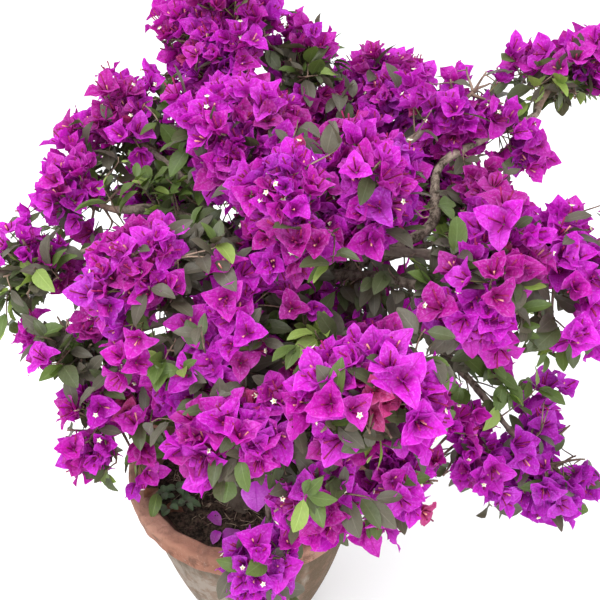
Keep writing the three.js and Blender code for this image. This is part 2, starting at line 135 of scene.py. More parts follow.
# The crown's middle by the solids' rule, the radii of the core that is filled round it, and how much
# the masses' outlines melt together
HEART = np.array([30.0, 60.0, 540.0]) * MM
CORE = np.array([200.0, 190.0, 170.0]) * MM
MELT = 4.5

# How the finer growth goes on: shares of an outline, and lengths in metres
FREE_SHARE = 0.93
CLOSE_TO_OUTLINE = -0.1
DEEP_INSIDE = -0.25
BEHIND_HEART = -0.12
FILLING_REACH = 0.17
LEAF_TURN = 2.4
BLOSSOMS_IN_SPRAY = ((2, 3, 4, 5, 6), (0.17, 0.33, 0.3, 0.15, 0.05))
# DARK is a tip inside the crown; its leaves take the dark colours of painted shade
BLOSSOM, LEAFY, DARK, WHORL = range(4)
BRIGHT, MIDDLE, VIOLET, DEEP, ROSY = range(5)
GREEN, OLIVE, SHADE, FRESH = range(4)
MOST_IN_PIECE = 1600

# How far blossoms and leaves keep from the pot and the box in metres, and from open air and the bare
# bough in pixels of the photograph
BLOSSOM_MARGINS = (0.016, 0.022, 9, 18)
LEAF_MARGINS = (0.006, 0.024, 5, 13)
TIP_FROM_POT = 0.012
TIP_FROM_AIR = 2
MOUTH_SHARE = 0.86
BOX_SHARE, BOX_SPARE = 0.03, 0.008
BARE_ARM = slice(50, 212)
ARM_TAPER = 0.45

# Seeds of the draws for growth, sprays, leaves, soil, litter and the shapes of single parts
GROWTH_SEED, SPRAY_SEED, LEAF_SEED, SOIL_SEED, LITTER_SEED = 7, 21, 33, 51, 71
TRUNK_BARK_SEED, BOUGH_BARK_SEED, LEAF_SHAPE_SEED, BRACT_SEED, FLOWER_SEED = 81, 90, 91, 101, 111

# Soil: radius of its level middle, and how far it sinks toward the wall
SOIL_LEVEL = 0.062
SOIL_DROP = 0.008

# Each mass: name, azimuth, reach and height of its middle, its radii outward, sideways and upward,
# then its bough: the limb that it grows from, the share of that limb's length, its radius, its arch,
# and the points that it passes if it is bent.
MASSES = (
    ("upper_front", 89, 72, 786, (66, 88, 62), "", 0, 0, 0, ()),
    ("crown_top", 97, 290, 822, (75, 90, 70), "trunk", 0.72, 12, 10, ()),
    ("arm_tip", 32, 535, 782, (86, 62, 60), "trunk", 0.55, 9.5, 0,
     ((118, 42, 590), (190, 55, 622), (240, 84, 644), (250, 140, 689), (300, 180, 706), (384, 225, 724))),
    ("left_shoulder", 149, 273, 660, (62, 64, 66), "trunk", 0.6, 12, 60, ()),
    ("right_front", -26, 302, 690, (68, 72, 66), "trunk", 0.64, 11, 20, ()),
    ("front_centre", -59, 273, 632, (62, 72, 60), "trunk", 0.52, 10, 30, ()),
    ("back_centre", 85, 420, 620, (75, 92, 82), "trunk", 0.5, 12, 40, ()),
    ("left_front", -142, 132, 674, (70, 72, 66), "trunk", 0.78, 9, 0, ((-10, 30, 648), (-58, 12, 636))),
    ("crown_top_right", 77, 310, 778, (70, 72, 62), "crown_top", 0.42, 8, 0, ()),
    ("back_right_top", 57, 386, 724, (80, 86, 64), "trunk", 0.66, 10, 20, ()),
    ("left_upper", 128, 289, 728, (66, 68, 68), "left_shoulder", 0.4, 8, 20, ()),
    ("left_tip", 171, 282, 605, (54, 60, 60), "left_shoulder", 0.5, 8, 20, ()),
    ("left_droop", -175, 233, 522, (62, 66, 64), "trunk", 0.46, 9, 60, ()),
    ("left_skirt", -161, 200, 428, (64, 80, 76), "trunk", 0.36, 9, 90, ()),
    ("centre", -44, 98, 762, (66, 66, 66), "trunk", 0.84, 8, 0, ()),
    ("centre_right", -15, 158, 765, (62, 62, 68), "arm_tip", 0.14, 8, 0, ()),
    ("centre_low", -100, 132, 600, (66, 80, 72), "trunk", 0.6, 8, 10, ()),
    ("front_left", -84, 201, 543, (62, 88, 66), "trunk", 0.44, 9, 50, ()),
    ("front_low", -68, 240, 475, (55, 64, 58), "trunk", 0.32, 9, 80, ()),
    ("pot_drape", -83, 224, 330, (38, 50, 72), "front_low", 0.6, 6, 45, ()),
    ("front_right_low", -46, 274, 461, (54, 54, 66), "front_centre", 0.5, 7, 10, ()),
    ("right_droop", -14, 312, 389, (58, 60, 72), "trunk", 0.4, 10, 150, ()),
    ("right_side", -12, 382, 685, (58, 62, 82), "trunk", 0.7, 10, 30, ()),
    ("right_skirt", -8, 416, 345, (66, 66, 95), "right_droop", 0.45, 8, 60, ()),
    ("right_shoulder", 15, 338, 645, (64, 64, 82), "arm_tip", 0.2, 8, 0, ()),
    ("arm_middle", 36, 370, 762, (62, 62, 56), "trunk", 0.76, 9, 20, ()),
    ("back_left", 113, 335, 585, (76, 84, 82), "trunk", 0.42, 11, 60, ()),
    ("back_right", 50, 430, 560, (78, 94, 86), "back_centre", 0.28, 9, 30, ()),
    ("back_low", 95, 330, 430, (78, 92, 80), "trunk", 0.33, 10, 90, ()),
)
MASS_NODES = tuple("mass_" + row[0] for row in MASSES)
BOUGH_NODES = tuple("bough_" + row[0] for row in MASSES if row[5])

# Windows in the photograph's pixels: middle x and y, half width and half height.
# Sky that shows through the crown
SKY_WINDOWS = (
    (105, 216, 19, 9), (222, 213, 13, 7), (399, 259, 9, 6), (58, 310, 20, 13), (162, 323, 13, 9),
    (481, 390, 11, 11), (520, 364, 13, 11), (445, 442, 8, 7), (448, 466, 4, 8), (121, 443, 7, 10),
    (265, 72, 5, 6), (438, 84, 5, 7), (474, 92, 9, 9), (522, 184, 11, 6), (594, 224, 7, 7),
    (557, 305, 8, 5), (566, 320, 5, 7), (508, 418, 5, 8), (560, 464, 8, 8), (194, 306, 4, 8),
    (528, 88, 3, 4), (172, 356, 6, 5), (82, 425, 8, 5), (496, 436, 7, 3),
)
# Open air round the outline, and bare pot, where the masses reach a little past it
OUTER_WINDOWS = (
    (72, 80, 24, 20), (20, 165, 22, 26), (8, 375, 14, 28), (40, 428, 20, 52), (92, 503, 30, 16),
    (446, 496, 26, 10), (462, 545, 30, 40), (586, 424, 24, 30), (594, 392, 12, 18), (526, 28, 24, 14),
    (556, 27, 22, 14), (584, 12, 18, 13), (464, 45, 40, 15), (556, 134, 9, 8), (596, 370, 6, 5),
    (502, 524, 27, 8), (470, 500, 14, 9), (481, 78, 11, 14), (552, 116, 12, 9), (586, 126, 28, 26),
    (584, 172, 24, 19), (252, 494, 13, 17), (124, 50, 14, 18), (150, 48, 9, 16), (82, 102, 18, 9),
    (318, 8, 16, 9), (405, 42, 20, 9), (334, 15, 8, 7), (438, 59, 11, 7), (119, 475, 6, 12),
    (594, 451, 10, 10), (574, 533, 10, 8), (420, 538, 13, 7), (351, 546, 13, 6), (440, 489, 18, 9),
    (546, 197, 15, 9), (528, 534, 13, 12), (310, 576, 15, 24),
)
OPEN_WINDOWS = SKY_WINDOWS + OUTER_WINDOWS
# Leaves in place of blossom, fresh green shoots, young rosy bracts, and leaves alone in the dark colours of
# painted shade
LEAFY_WINDOWS = (
    (112, 168, 26, 30), (160, 130, 22, 45), (160, 175, 28, 30), (185, 205, 26, 24), (138, 215, 20, 16),
    (190, 262, 20, 36), (28, 282, 30, 28), (45, 227, 22, 12), (294, 333, 32, 20), (266, 317, 20, 30),
    (214, 243, 20, 26), (195, 365, 14, 15), (158, 430, 20, 34), (55, 335, 16, 18), (84, 364, 26, 22),
    (432, 190, 22, 50), (408, 238, 26, 26), (458, 225, 18, 44), (325, 270, 14, 24), (430, 282, 26, 18),
    (428, 347, 28, 27), (454, 359, 25, 19), (530, 330, 22, 45), (551, 308, 13, 26), (386, 428, 14, 16),
    (368, 466, 12, 18), (346, 422, 25, 12), (330, 478, 8, 8), (300, 500, 12, 9), (240, 470, 16, 26),
    (535, 82, 26, 20), (582, 92, 20, 14), (310, 78, 22, 22), (330, 60, 14, 8), (588, 242, 20, 12),
    (500, 285, 24, 10), (352, 295, 12, 16), (235, 186, 14, 9), (285, 150, 9, 10), (352, 233, 9, 10),
    (386, 316, 12, 14), (402, 290, 22, 18), (344, 420, 15, 6), (442, 428, 12, 12), (556, 92, 36, 16),
    (520, 84, 18, 20), (132, 186, 26, 34), (176, 190, 30, 30), (178, 150, 22, 18), (153, 348, 16, 25),
)
SHOOT_WINDOWS = (
    (303, 332, 22, 18), (26, 287, 30, 30), (530, 300, 26, 22), (560, 88, 40, 22), (480, 285, 14, 14),
    (374, 446, 24, 14),
)
ROSY_WINDOWS = ((380, 398, 20, 24), (248, 388, 20, 18), (132, 404, 12, 14), (428, 508, 12, 12))
PAINTED_SHADE_WINDOWS = ((214, 245, 26, 28), (445, 345, 36, 32), (402, 290, 24, 20), (255, 340, 22, 22))

# Shoots in places that the photograph shows: pixel x and y of the tip, its height, and its kind,
# blossom 0, leafy 1 or leaves in the dark colours of painted shade 2
PLACED_SHOOTS = (
    (455, 80, 0.784, 0), (512, 56, 0.795, 0), (538, 60, 0.786, 0), (522, 84, 0.754, 1), (548, 88, 0.744, 1),
    (578, 90, 0.734, 1), (525, 100, 0.741, 1), (162, 76, 0.767, 0), (30, 203, 0.655, 0),
    (541, 318, 0.56, 1), (520, 305, 0.58, 1), (560, 345, 0.56, 1), (545, 352, 0.54, 1),
    (578, 330, 0.578, 0), (590, 340, 0.57, 0), (503, 380, 0.52, 1), (536, 388, 0.5, 1), (472, 366, 0.53, 1),
    (488, 352, 0.54, 0), (500, 340, 0.54, 0), (470, 410, 0.5, 0), (455, 420, 0.5, 0), (497, 402, 0.5, 1),
    (556, 390, 0.47, 0), (545, 398, 0.47, 0), (520, 455, 0.42, 0), (545, 480, 0.38, 0), (484, 474, 0.42, 0),
    (498, 490, 0.4, 0), (530, 148, 0.69, 0), (512, 158, 0.68, 0), (522, 166, 0.68, 0), (500, 148, 0.69, 0),
    (10, 300, 0.56, 1), (8, 325, 0.53, 1), (137, 478, 0.36, 0), (150, 468, 0.38, 0), (384, 519, 0.4, 0),
    (356, 522, 0.395, 0), (428, 506, 0.39, 0), (422, 270, 0.6, 1), (365, 266, 0.6, 1), (384, 284, 0.58, 1),
    (348, 252, 0.62, 1), (78, 480, 0.42, 0), (105, 472, 0.42, 1), (66, 436, 0.46, 0), (405, 264, 0.67, 2),
    (388, 268, 0.675, 2), (372, 262, 0.67, 2), (355, 262, 0.66, 2), (340, 262, 0.655, 2),
    (328, 270, 0.65, 2), (350, 284, 0.64, 2), (372, 286, 0.65, 2), (392, 290, 0.65, 2),
    (335, 292, 0.625, 2), (360, 300, 0.62, 2), (382, 302, 0.62, 2), (497, 119, 0.67, 0),
    (531, 160, 0.68, 0), (470, 358, 0.55, 2), (488, 361, 0.55, 1), (500, 357, 0.54, 2),
    (346, 519, 0.385, 0), (492, 373, 0.535, 1), (507, 393, 0.51, 1), (167, 97, 0.765, 1),
    (158, 121, 0.75, 1), (531, 131, 0.7, 0), (544, 152, 0.69, 0), (46, 381, 0.5, 0), (461, 384, 0.52, 1),
    (570, 400, 0.47, 0), (436, 361, 0.53, 2), (448, 374, 0.52, 2),
)


# Shapes and numbers

def unit(vectors):
    """Each vector over its length."""
    return vectors / np.maximum(np.linalg.norm(vectors, axis=-1, keepdims=True), 1e-12)


def mix(low, high, share):
    """A share of the way from low to high."""
    return low + (high - low) * share


def level(angle, reach, height):
    """Points round the upright axis: the reach times the angle's cosine and sine, and the height."""
    return np.stack(np.broadcast_arrays(reach * np.cos(angle), reach * np.sin(angle), height), -1)


def around(axis, other, turn):
    """Directions square to an axis, turned round it from the one that is also square to another."""
    first = unit(np.cross(axis, other))
    return first * np.cos(turn)[..., None] + np.cross(axis, first) * np.sin(turn)[..., None]


def spread_directions(count, turn):
    """Directions even over a ball: heights in equal steps, each a golden turn on from the last."""
    step = np.arange(count)
    height = 1 - (2 * step + 1) / count
    return level(GOLDEN_TURN * step + turn, np.sqrt(1 - height**2), height)


def draws_from(seed):
    """Numbers from 0 to 1, the same ones as the solids' source draws for a seed."""
    whole = 0xFFFFFFFF
    state = seed & whole

    def draw():
        nonlocal state
        state = (state + 0x6D2B79F5) & whole
        t = ((state ^ (state >> 15)) * (state | 1)) & whole
        t = ((t + (((t ^ (t >> 7)) * (t | 61)) & whole)) & whole) ^ t
        return (t ^ (t >> 14)) / (whole + 1)

    return draw


def waves(points, size, seed):
    """Smooth noise from about -1 to 1: a sum of sines along seeded directions, about size long."""
    random = np.random.default_rng(seed)
    ways = unit(random.normal(size=(7, 3))) * random.uniform(0.7, 1.6, (7, 1)) * (TURN / size)
    return np.sin(points @ ways.T + random.uniform(0, TURN, 7)).sum(-1) / 3.2


def curve_through(points, count=240):
    """Points at even lengths along a curve through the given points. On each stretch it is a cubic
    whose slope at a given point is half the step between its two neighbours, and the end slopes are
    the end steps."""
    given = np.asarray(points, float)
    ends = np.concatenate([[2 * given[0] - given[1]], given, [2 * given[-1] - given[-2]]])
    along = np.linspace(0, len(given) - 1, 16 * count)
    which = np.minimum(along.astype(int), len(given) - 2)
    t = (along - which)[:, None]
    p0, p1, p2, p3 = (ends[which + i] for i in range(4))
    s1, s2 = (p2 - p0) / 2, (p3 - p1) / 2
    cubic = (2 * p1 - 2 * p2 + s1 + s2) * t**3 + (3 * p2 - 3 * p1 - 2 * s1 - s2) * t**2 + s1 * t + p1
    return evenly(cubic, count)


def line_length(points):
    """The sum of the steps along a line."""
    return np.linalg.norm(np.diff(points, axis=0), axis=1).sum()


def evenly(points, count):
    """The same line as count points at even lengths."""
    length = np.concatenate([[0], np.cumsum(np.linalg.norm(np.diff(points, axis=0), axis=1))])
    wanted = np.linspace(0, length[-1], count)
    return np.stack([np.interp(wanted, length, points[:, i]) for i in range(3)], 1)


def arcs(start, way_out, end, way_in, count):
    """N cubic curves from start to end with handles TWIG_BEND of the distance long: count points."""
    bend = TWIG_BEND * np.linalg.norm(end - start, axis=-1, keepdims=True)
    a, b, c, d = (p[:, None] for p in (start, start + way_out * bend, end - way_in * bend, end))
    t = np.linspace(0, 1, count)[None, :, None]
    return a * (1 - t) ** 3 + 3 * b * t * (1 - t) ** 2 + 3 * c * t**2 * (1 - t) + d * t**3


def at_share(lines, share):
    """Place and heading at a share of the length of each of N lines of K points."""
    k = lines.shape[1]
    where = np.clip(share, 0, 1) * (k - 1)
    low = np.minimum(where.astype(int), k - 2)
    row = np.arange(len(lines))
    step = lines[row, low + 1] - lines[row, low]
    return lines[row, low] + step * (where - low)[:, None], unit(step)


def grid_faces(rows, columns, ring=True):
    """Triangles between rows of points, each row a closed ring or an open line, and fans from the
    first and the last row to the two end points that follow the rows."""
    j = np.arange(columns if ring else columns - 1)
    after = (j + 1) % columns
    row = columns * np.arange(rows - 1)[:, None]
    a, b, c, d = ((row + corner).ravel() for corner in (j, after, columns + after, columns + j))
    start, last = np.full(len(j), rows * columns), (rows - 1) * columns
    fans = (start, after, j), (start + 1, last + j, last + after)
    return np.concatenate([np.stack(corners, 1) for corners in ((a, b, c), (a, c, d), *fans)])


def repeat_faces(points, faces):
    """Points of N like shapes in one list, with the shape's faces repeated for each."""
    n, each, _ = points.shape
    return points.reshape(-1, 3), (faces + each * np.arange(n)[:, None, None]).reshape(-1, faces.shape[1])


def tubes(lines, radii, sides):
    """N closed tubes along lines of K points. Each ring is a circle of its own radius in the plane
    square to the line, and a pole closes each end. Gives points and triangles."""
    n, k, _ = lines.shape
    heading = unit(np.gradient(lines, axis=1))
    chord = unit(lines[:, -1] - lines[:, 0])
    aside = unit(np.cross(chord, np.where(np.abs(chord[:, 2:]) > 0.9, SIDE, UP)))[:, None]
    first = unit(aside - (aside * heading).sum(-1, keepdims=True) * heading)[:, :, None]
    second = np.cross(heading[:, :, None], first)
    turn = TURN * np.arange(sides)[:, None] / sides
    circle = np.cos(turn) * first + np.sin(turn) * second
    rings = lines[:, :, None] + circle * np.broadcast_to(radii, (n, k))[:, :, None, None]
    points = np.concatenate([rings.reshape(n, -1, 3), lines[:, :1], lines[:, -1:]], 1)
    return repeat_faces(points, grid_faces(k, sides))


def blades(base, along, face, length, width, ripple, phase, fold, bend, profile, columns):
    """N thin blades from their bases. The middle line is an arc that starts along one way and turns
    away from the face; a profile gives the half width at shares of the length; the two halves are
    folded up toward the face, and their edges ripple. Gives points, triangles and a place on the
    blade for each point: across and along, from 0 to 1."""
    shares, widths = profile
    n, rows = len(base), len(shares)
    across = unit(np.cross(along, face))
    face = np.cross(across, along)
    length, width, ripple, phase, fold, bend = (
        np.broadcast_to(value, n)[:, None] for value in (length, width, ripple, phase, fold, bend))
    bend = np.where(np.abs(bend) < 0.05, 0.05, bend)
    v = np.linspace(-1, 1, columns + 1)
    turn = bend * np.concatenate([shares, [0, 1]])
    middle = (base[:, None] + along[:, None] * (length * np.sin(turn) / bend)[..., None]
              - face[:, None] * (length * (1 - np.cos(turn)) / bend)[..., None])
    normal = face[:, None] * np.cos(turn)[..., None] + along[:, None] * np.sin(turn)[..., None]
    half = (width * widths / 2)[..., None]
    phase = phase[..., None] + TURN * 1.4 * shares[:, None] + math.pi * (v < 0)
    lift = np.abs(v) * np.sin(fold)[..., None] + ripple[..., None] * np.sin(phase) * v**2
    grid = (middle[:, :rows, None] + across[:, None, None] * (half * v * np.cos(fold)[..., None])[..., None]
            + normal[:, :rows, None] * (half * lift)[..., None])
    points = np.concatenate([grid.reshape(n, -1, 3), middle[:, rows:]], 1)
    places = np.stack(np.broadcast_arrays((v[None] + 1) / 2, shares[:, None]), -1).reshape(-1, 2)
    places = np.concatenate([places, [[0.5, 0], [0.5, 1]]])
    return *repeat_faces(points, grid_faces(rows, columns + 1, ring=False)), np.tile(places, (n, 1))


def ovate(rise, fall, stalk=0.0, rows=6):
    """Shares along a blade and its widths there: share to the rise times the rest to the fall, so
    that it is widest at rise over rise plus fall, after a bare stalk."""
    t = np.linspace(0.04, 0.95, rows) ** 1.1
    widest = rise / (rise + fall)
    width = t**rise * (1 - t) ** fall / (widest**rise * (1 - widest) ** fall)
    shares = stalk + (1 - stalk) * t
    if stalk:
        shares = np.concatenate([[stalk * 0.9], shares])
        width = np.concatenate([[0.045], width])
    return shares, width


def turned(profile, sides, uneven):
    """A surface of revolution from radius and height pairs that start and end on the axis, with each
    point moved by uneven(points)."""
    radius, height = np.asarray(profile, float).T
    grid = level(TURN * np.arange(sides) / sides, radius[1:-1, None], height[1:-1, None])
    points = np.concatenate([uneven(grid.reshape(-1, 3)), np.outer(height[[0, -1]], UP)])
    return points, grid_faces(len(radius) - 2, sides)


def joined(shapes):
    """Several shapes' points and faces as one."""
    before = np.cumsum([0] + [len(points) for points, _ in shapes[:-1]])
    return (np.concatenate([points for points, _ in shapes]),
            np.concatenate([faces + start for (_, faces), start in zip(shapes, before)]))


def on_photo(points):
    """Pixel x and y of points in the photograph's frame, and their distance ahead of the camera."""
    from_camera = points - CAMERA_PLACE
    distance = from_camera @ AHEAD
    scale = FOCAL / distance
    return PHOTO_MIDDLE + from_camera[..., 0] * scale, PHOTO_MIDDLE + (from_camera @ DOWN) * scale, distance


def from_photo(x, y, height):
    """The place at a height that shows at a pixel of the photograph."""
    ray = AHEAD + SIDE * (x - PHOTO_MIDDLE) / FOCAL + DOWN * (y - PHOTO_MIDDLE) / FOCAL
    return CAMERA_PLACE + ray * (height - CAMERA_PLACE[2]) / ray[2]


def in_windows(points, windows, margin=0.0):
    """Which points show inside any of the windows, grown by a margin in pixels."""
    x, y, _ = (number[:, None] for number in on_photo(points))
    middle_x, middle_y, half_width, half_height = np.array(windows, float).T
    away = ((x - middle_x) / (half_width + margin)) ** 2 + ((y - middle_y) / (half_height + margin)) ** 2
    return (away < 1).any(1)


# Growth

def melted_outline(points, masses):
    """How far points lie outside the crown when its masses' outlines are melted into one, over the
    masses' radii and below 0 inside, and how far out each lies in the mass that it is deepest in."""
    far = np.stack([np.linalg.norm((points - mass["middle"]) @ mass["axes"].T / mass["radii"], axis=1)
                    for mass in masses], 1)
    return -np.log(np.exp(-MELT * (far - 1)).sum(1)) / MELT, far.min(1)


def radius_toward(mass, directions):
    """How far a mass's rounded outline lies from its middle."""
    return 1 / np.linalg.norm(directions @ mass["axes"].T / mass["radii"], axis=-1)


def wall_distance(mass, ways):
    """How far the nearest wall between a mass and its neighbours lies from its middle."""
    toward = ways @ mass["walls"].T
    return np.where(toward > 1e-6, mass["limits"] / np.maximum(toward, 1e-6), np.inf).min(1)


def lay_out_masses():
    """The masses' spaces, limbs and walls by the solids' rule, in metres."""
    masses = []
    for name, azimuth, reach, height, radii, parent, at, thick, arch, passes in MASSES:
        outward = level(math.radians(azimuth), 1, 0)
        mass = {"name": name, "axes": np.array([outward, np.cross(UP, outward), UP]),
                "radii": np.array(radii) * MM, "parent": parent, "at": at, "thick": thick * MM,
                "arch": arch * MM, "passes": np.array(passes, float) * MM}
        middle = (outward * reach + UP * height) * MM
        inward = unit(HEART - middle)
        mass["middle"] = middle + inward * (FULLNESS - 1) * radius_toward(mass, inward)
        mass["radii"] = mass["radii"] * FULLNESS
        mass["outward"] = unit(mass["middle"] - HEART)
        masses.append(mass)
    for mass in masses:
        others = [other for other in masses if other is not mass]
        apart = np.array([other["middle"] for other in others]) - mass["middle"]
        distance = np.linalg.norm(apart, axis=1)
        mass["walls"] = unit(apart)
        own = radius_toward(mass, mass["walls"])
        theirs = np.array([radius_toward(other, way) for other, way in zip(others, mass["walls"])])
        mass["limits"] = (distance**2 + own**2 - theirs**2) / (2 * distance) - SPACE_MARGIN * MM
    limbs = {"trunk": curve_through(np.array(TRUNK_LINE) * MM)}
    for i, mass in enumerate(masses):
        if mass["parent"]:
            limbs[mass["name"]] = bough_line(mass, limbs[mass["parent"]], draws_from(BOUGH_SEED + i))
    return masses, limbs


def bough_line(mass, parent_line, draw):
    """A bough rises from its limb, arches, and comes into its mass toward the middle."""
    foot = at_share(parent_line[None], np.array([mass["at"]]))[0][0]
    passes = list(mass["passes"])
    above = (passes[-1] if passes else foot) + UP * mass["arch"]
    inward = unit(mass["middle"] - above)
    entry = mass["middle"] - inward * ENTRY_SHARE * radius_toward(mass, inward)
    if not passes:
        aside = unit(np.cross(entry - foot, UP))
        span = np.linalg.norm(entry - foot)
        for share in BOUGH_BENDS:
            lift = UP * mass["arch"] * math.sin(math.pi * share**BOUGH_TAPER)
            passes.append(mix(foot, entry, share) + lift + aside * span * BOUGH_WOBBLE * (2 * draw() - 1))
    return curve_through([foot, *passes, entry])


def main_twigs(mass, limb, draw):
    """A mass's stem, on from its limb's tip through its middle, and its first twigs: one toward each
    of the even directions, from the stem to most of the way to the outline or the nearest wall."""
    heading = unit(limb[-1] - limb[-2])
    start = limb[-1] + heading * CLEARANCE * MM
    outward = mass["outward"]
    end = mass["middle"] + outward * STEM_REACH * radius_toward(mass, outward)
    stem = arcs(start[None], heading[None], end[None], outward[None], STEM_POINTS)
    ways = spread_directions(TWIG_DIRECTIONS, TURN * draw())
    ways = ways[np.argsort(-(ways @ outward), kind="stable")]
    scatter = np.array([[2 * draw() - 1 for _ in range(4)][:3] for _ in ways]) * FACING_SCATTER
    facing = unit(ways + outward * FACING_OUTWARD + UP * FACING_UP + scatter)
    share = mix(*TWIG_FEET, 0.5 + 0.5 * (ways @ unit(end - start)))
    feet = at_share(np.repeat(stem, len(ways), 0), share)[0]
    reach = np.minimum(radius_toward(mass, ways), wall_distance(mass, ways))
    tips = mass["middle"] + ways * (TWIG_REACH * reach)[:, None]
    return stem[0], ways, arcs(feet, ways, tips, facing, TWIG_POINTS)


def in_pot(points, margin):
    """Which points lie in the pot's wall or soil, grown by a margin."""
    low, high = (np.array(corner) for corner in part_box("pot"))
    outer = (high[0] - low[0]) / 2
    reach = np.hypot(points[:, 0], points[:, 1])
    in_wall = (reach < outer + margin) & (points[:, 2] < high[2] + margin)
    over_soil = (reach < outer * MOUTH_SHARE - margin) & (points[:, 2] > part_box("soil")[1][2] + margin)
    return in_wall & ~over_soil


def leaves_box(points, reach):
    """Which points would carry a shape of some reach outside the solids' box and its allowance."""
    low, high = (np.array(corner) for corner in CAD_BOX)
    spare = BOX_SHARE * (high - low) + BOX_SPARE - reach
    return ((points < low - spare) | (points > high + spare)).any(1)


def near_side(points):
    """Which points lie on the side of the crown that the photograph shows, or not far behind it."""
    return (points - HEART) @ unit(CAMERA_PLACE - HEART) > BEHIND_HEART


def hides_arm(points, arm, margin):
    """Which points show in front of the bare middle of the long bough, within a margin in pixels that
    shrinks toward the bough's thin end."""
    x, y, distance = on_photo(points)
    arm_x, arm_y, arm_distance = on_photo(arm)
    away = np.hypot(x[:, None] - arm_x, y[:, None] - arm_y)
    nearest = away.argmin(1)
    before_arm = distance < arm_distance[nearest] + 0.01
    return (away.min(1) < margin * (1 - ARM_TAPER * nearest / len(arm))) & before_arm


def clear(points, arm, from_pot, from_box, from_air, from_arm):
    """Which points keep clear of the pot, the box, open air and the bare bough by their margins."""
    blocked = in_pot(points, from_pot) | leaves_box(points, from_box)
    return ~(blocked | in_windows(points, OPEN_WINDOWS, from_air) | hides_arm(points, arm, from_arm))


def grow(settings):
    """Grows the whole crown and gives its twigs, sprays and leaf joints.

    From the first twigs of each mass, finer ones go to tips spread evenly under its outline, each
    from the first twig nearest to it in direction. More go from the nearest wood to tips in the
    hollows between the masses and in the crown's core. A tip at the crown's own outline bears
    blossom, or leaves where a window or the noise says so, and one inside it bears leaves.
    """
    blossom, leaf, twig = settings.bush_blossom, settings.bush_leaves, settings.bush_twigs
    masses, limbs = lay_out_masses()
    random = np.random.default_rng(GROWTH_SEED)
    stems, main, found = [], [], []
    for i, mass in enumerate(masses):
        limb = limbs[mass["name"] if mass["parent"] else "trunk"]
        stem, ways, twigs = main_twigs(mass, limb, draws_from(MASS_SEED + i))
        stems.append(stem)
        main.append(twigs)
        *shoots, own_twig = mass_tips(mass, ways, twigs, blossom, twig, random)
        found.append((*shoots, own_twig + i * TWIG_DIRECTIONS))
    stems, main = np.array(stems), np.concatenate(main)
    starts = main[:, ::2]
    limb_points = np.concatenate([*(line[::6] for line in limbs.values()), stems.reshape(-1, 3)])
    wood = np.concatenate([limb_points, starts.reshape(-1, 3)])
    for *shoots, foot in (filling_tips(masses, wood, twig, random), placed_shoots(wood, random)):
        found.append((*shoots, (foot - len(limb_points)) // starts.shape[1]))
    shoots = side_shoots(limbs, masses, random)
    found.append((*shoots, np.full(len(shoots[1]), -1)))
    fine, tips, facing, free, first_twig = (np.concatenate(parts) for parts in zip(*found))
    keep = ~in_pot(tips, TIP_FROM_POT) & ~in_windows(tips, OPEN_WINDOWS, TIP_FROM_AIR)
    keep &= ~in_windows(fine[:, FINE_POINTS // 2], SKY_WINDOWS) | (random.random(len(tips)) < 0.3)
    fine, tips, facing, free, first_twig = (part[keep] for part in (fine, tips, facing, free, first_twig))
    leafy = np.where(near_side(tips), in_windows(tips, LEAFY_WINDOWS),
                     waves(tips, blossom.patch, 3) < blossom.leafy_level)
    kind = np.where(free, np.where(leafy, LEAFY, BLOSSOM), DARK)
    for x, y, height, wanted in PLACED_SHOOTS:
        kind[np.linalg.norm(tips - from_photo(x, y, height), axis=1) < 1e-6] = wanted
    grown = {"limbs": limbs, "masses": masses, "stems": stems, "fine": fine, "tips": tips, "facing": facing,
             "kind": kind, "arm": limbs["arm_tip"][BARE_ARM]}
    grown["triads"] = grow_triads(grown, blossom)
    bearing = (kind != BLOSSOM) | np.isin(np.arange(len(kind)), grown["triads"]["spray"])
    for name in ("fine", "tips", "facing", "kind"):
        grown[name] = grown[name][bearing]
    grown["main"] = main[np.isin(np.arange(len(main)), first_twig[bearing])]
    grown["leaves"] = grow_leaves(grown, leaf)
    return grown


def mass_tips(mass, ways, twigs, blossom, twig, random):
    """Fine twigs of one mass, their tips and facings, which of them end at its free outline, and the
    first twig that each grows from."""
    count = int(4 * math.pi * np.mean(mass["radii"]) ** 2 / twig.spacing**2)
    aim = spread_directions(count, random.uniform(0, TURN))
    aim = unit(aim + random.normal(scale=0.15, size=aim.shape))
    edge = radius_toward(mass, aim)
    wall = wall_distance(mass, aim)
    free = wall > FREE_SHARE * edge
    outline = np.minimum(edge, wall)
    uneven = random.uniform(0, 1, count) + 0.65 * waves(mass["middle"] + aim * edge[:, None], 0.08, 8)
    at_outline = outline * 1.03 - blossom.spray_reach - blossom.layer * uneven
    inside = outline * random.uniform(0.45, 0.95, count)
    tips = mass["middle"] + aim * np.where(free, at_outline, inside)[:, None]
    facing = aim + 0.25 * mass["outward"] + blossom.upturn * UP
    facing = unit(facing + random.normal(scale=0.22, size=aim.shape))
    close = aim @ ways.T
    own_twig = close.argmax(1)
    share = np.clip(mix(0.3, 0.95, (close.max(1) - 0.6) / 0.4), 0.2, 0.97)
    feet, heading = at_share(twigs[own_twig], share)
    keep = free | (random.random(count) < twig.inner_share)
    found = arcs(feet, heading, tips, facing, FINE_POINTS), tips, facing, free, own_twig
    return tuple(part[keep] for part in found)


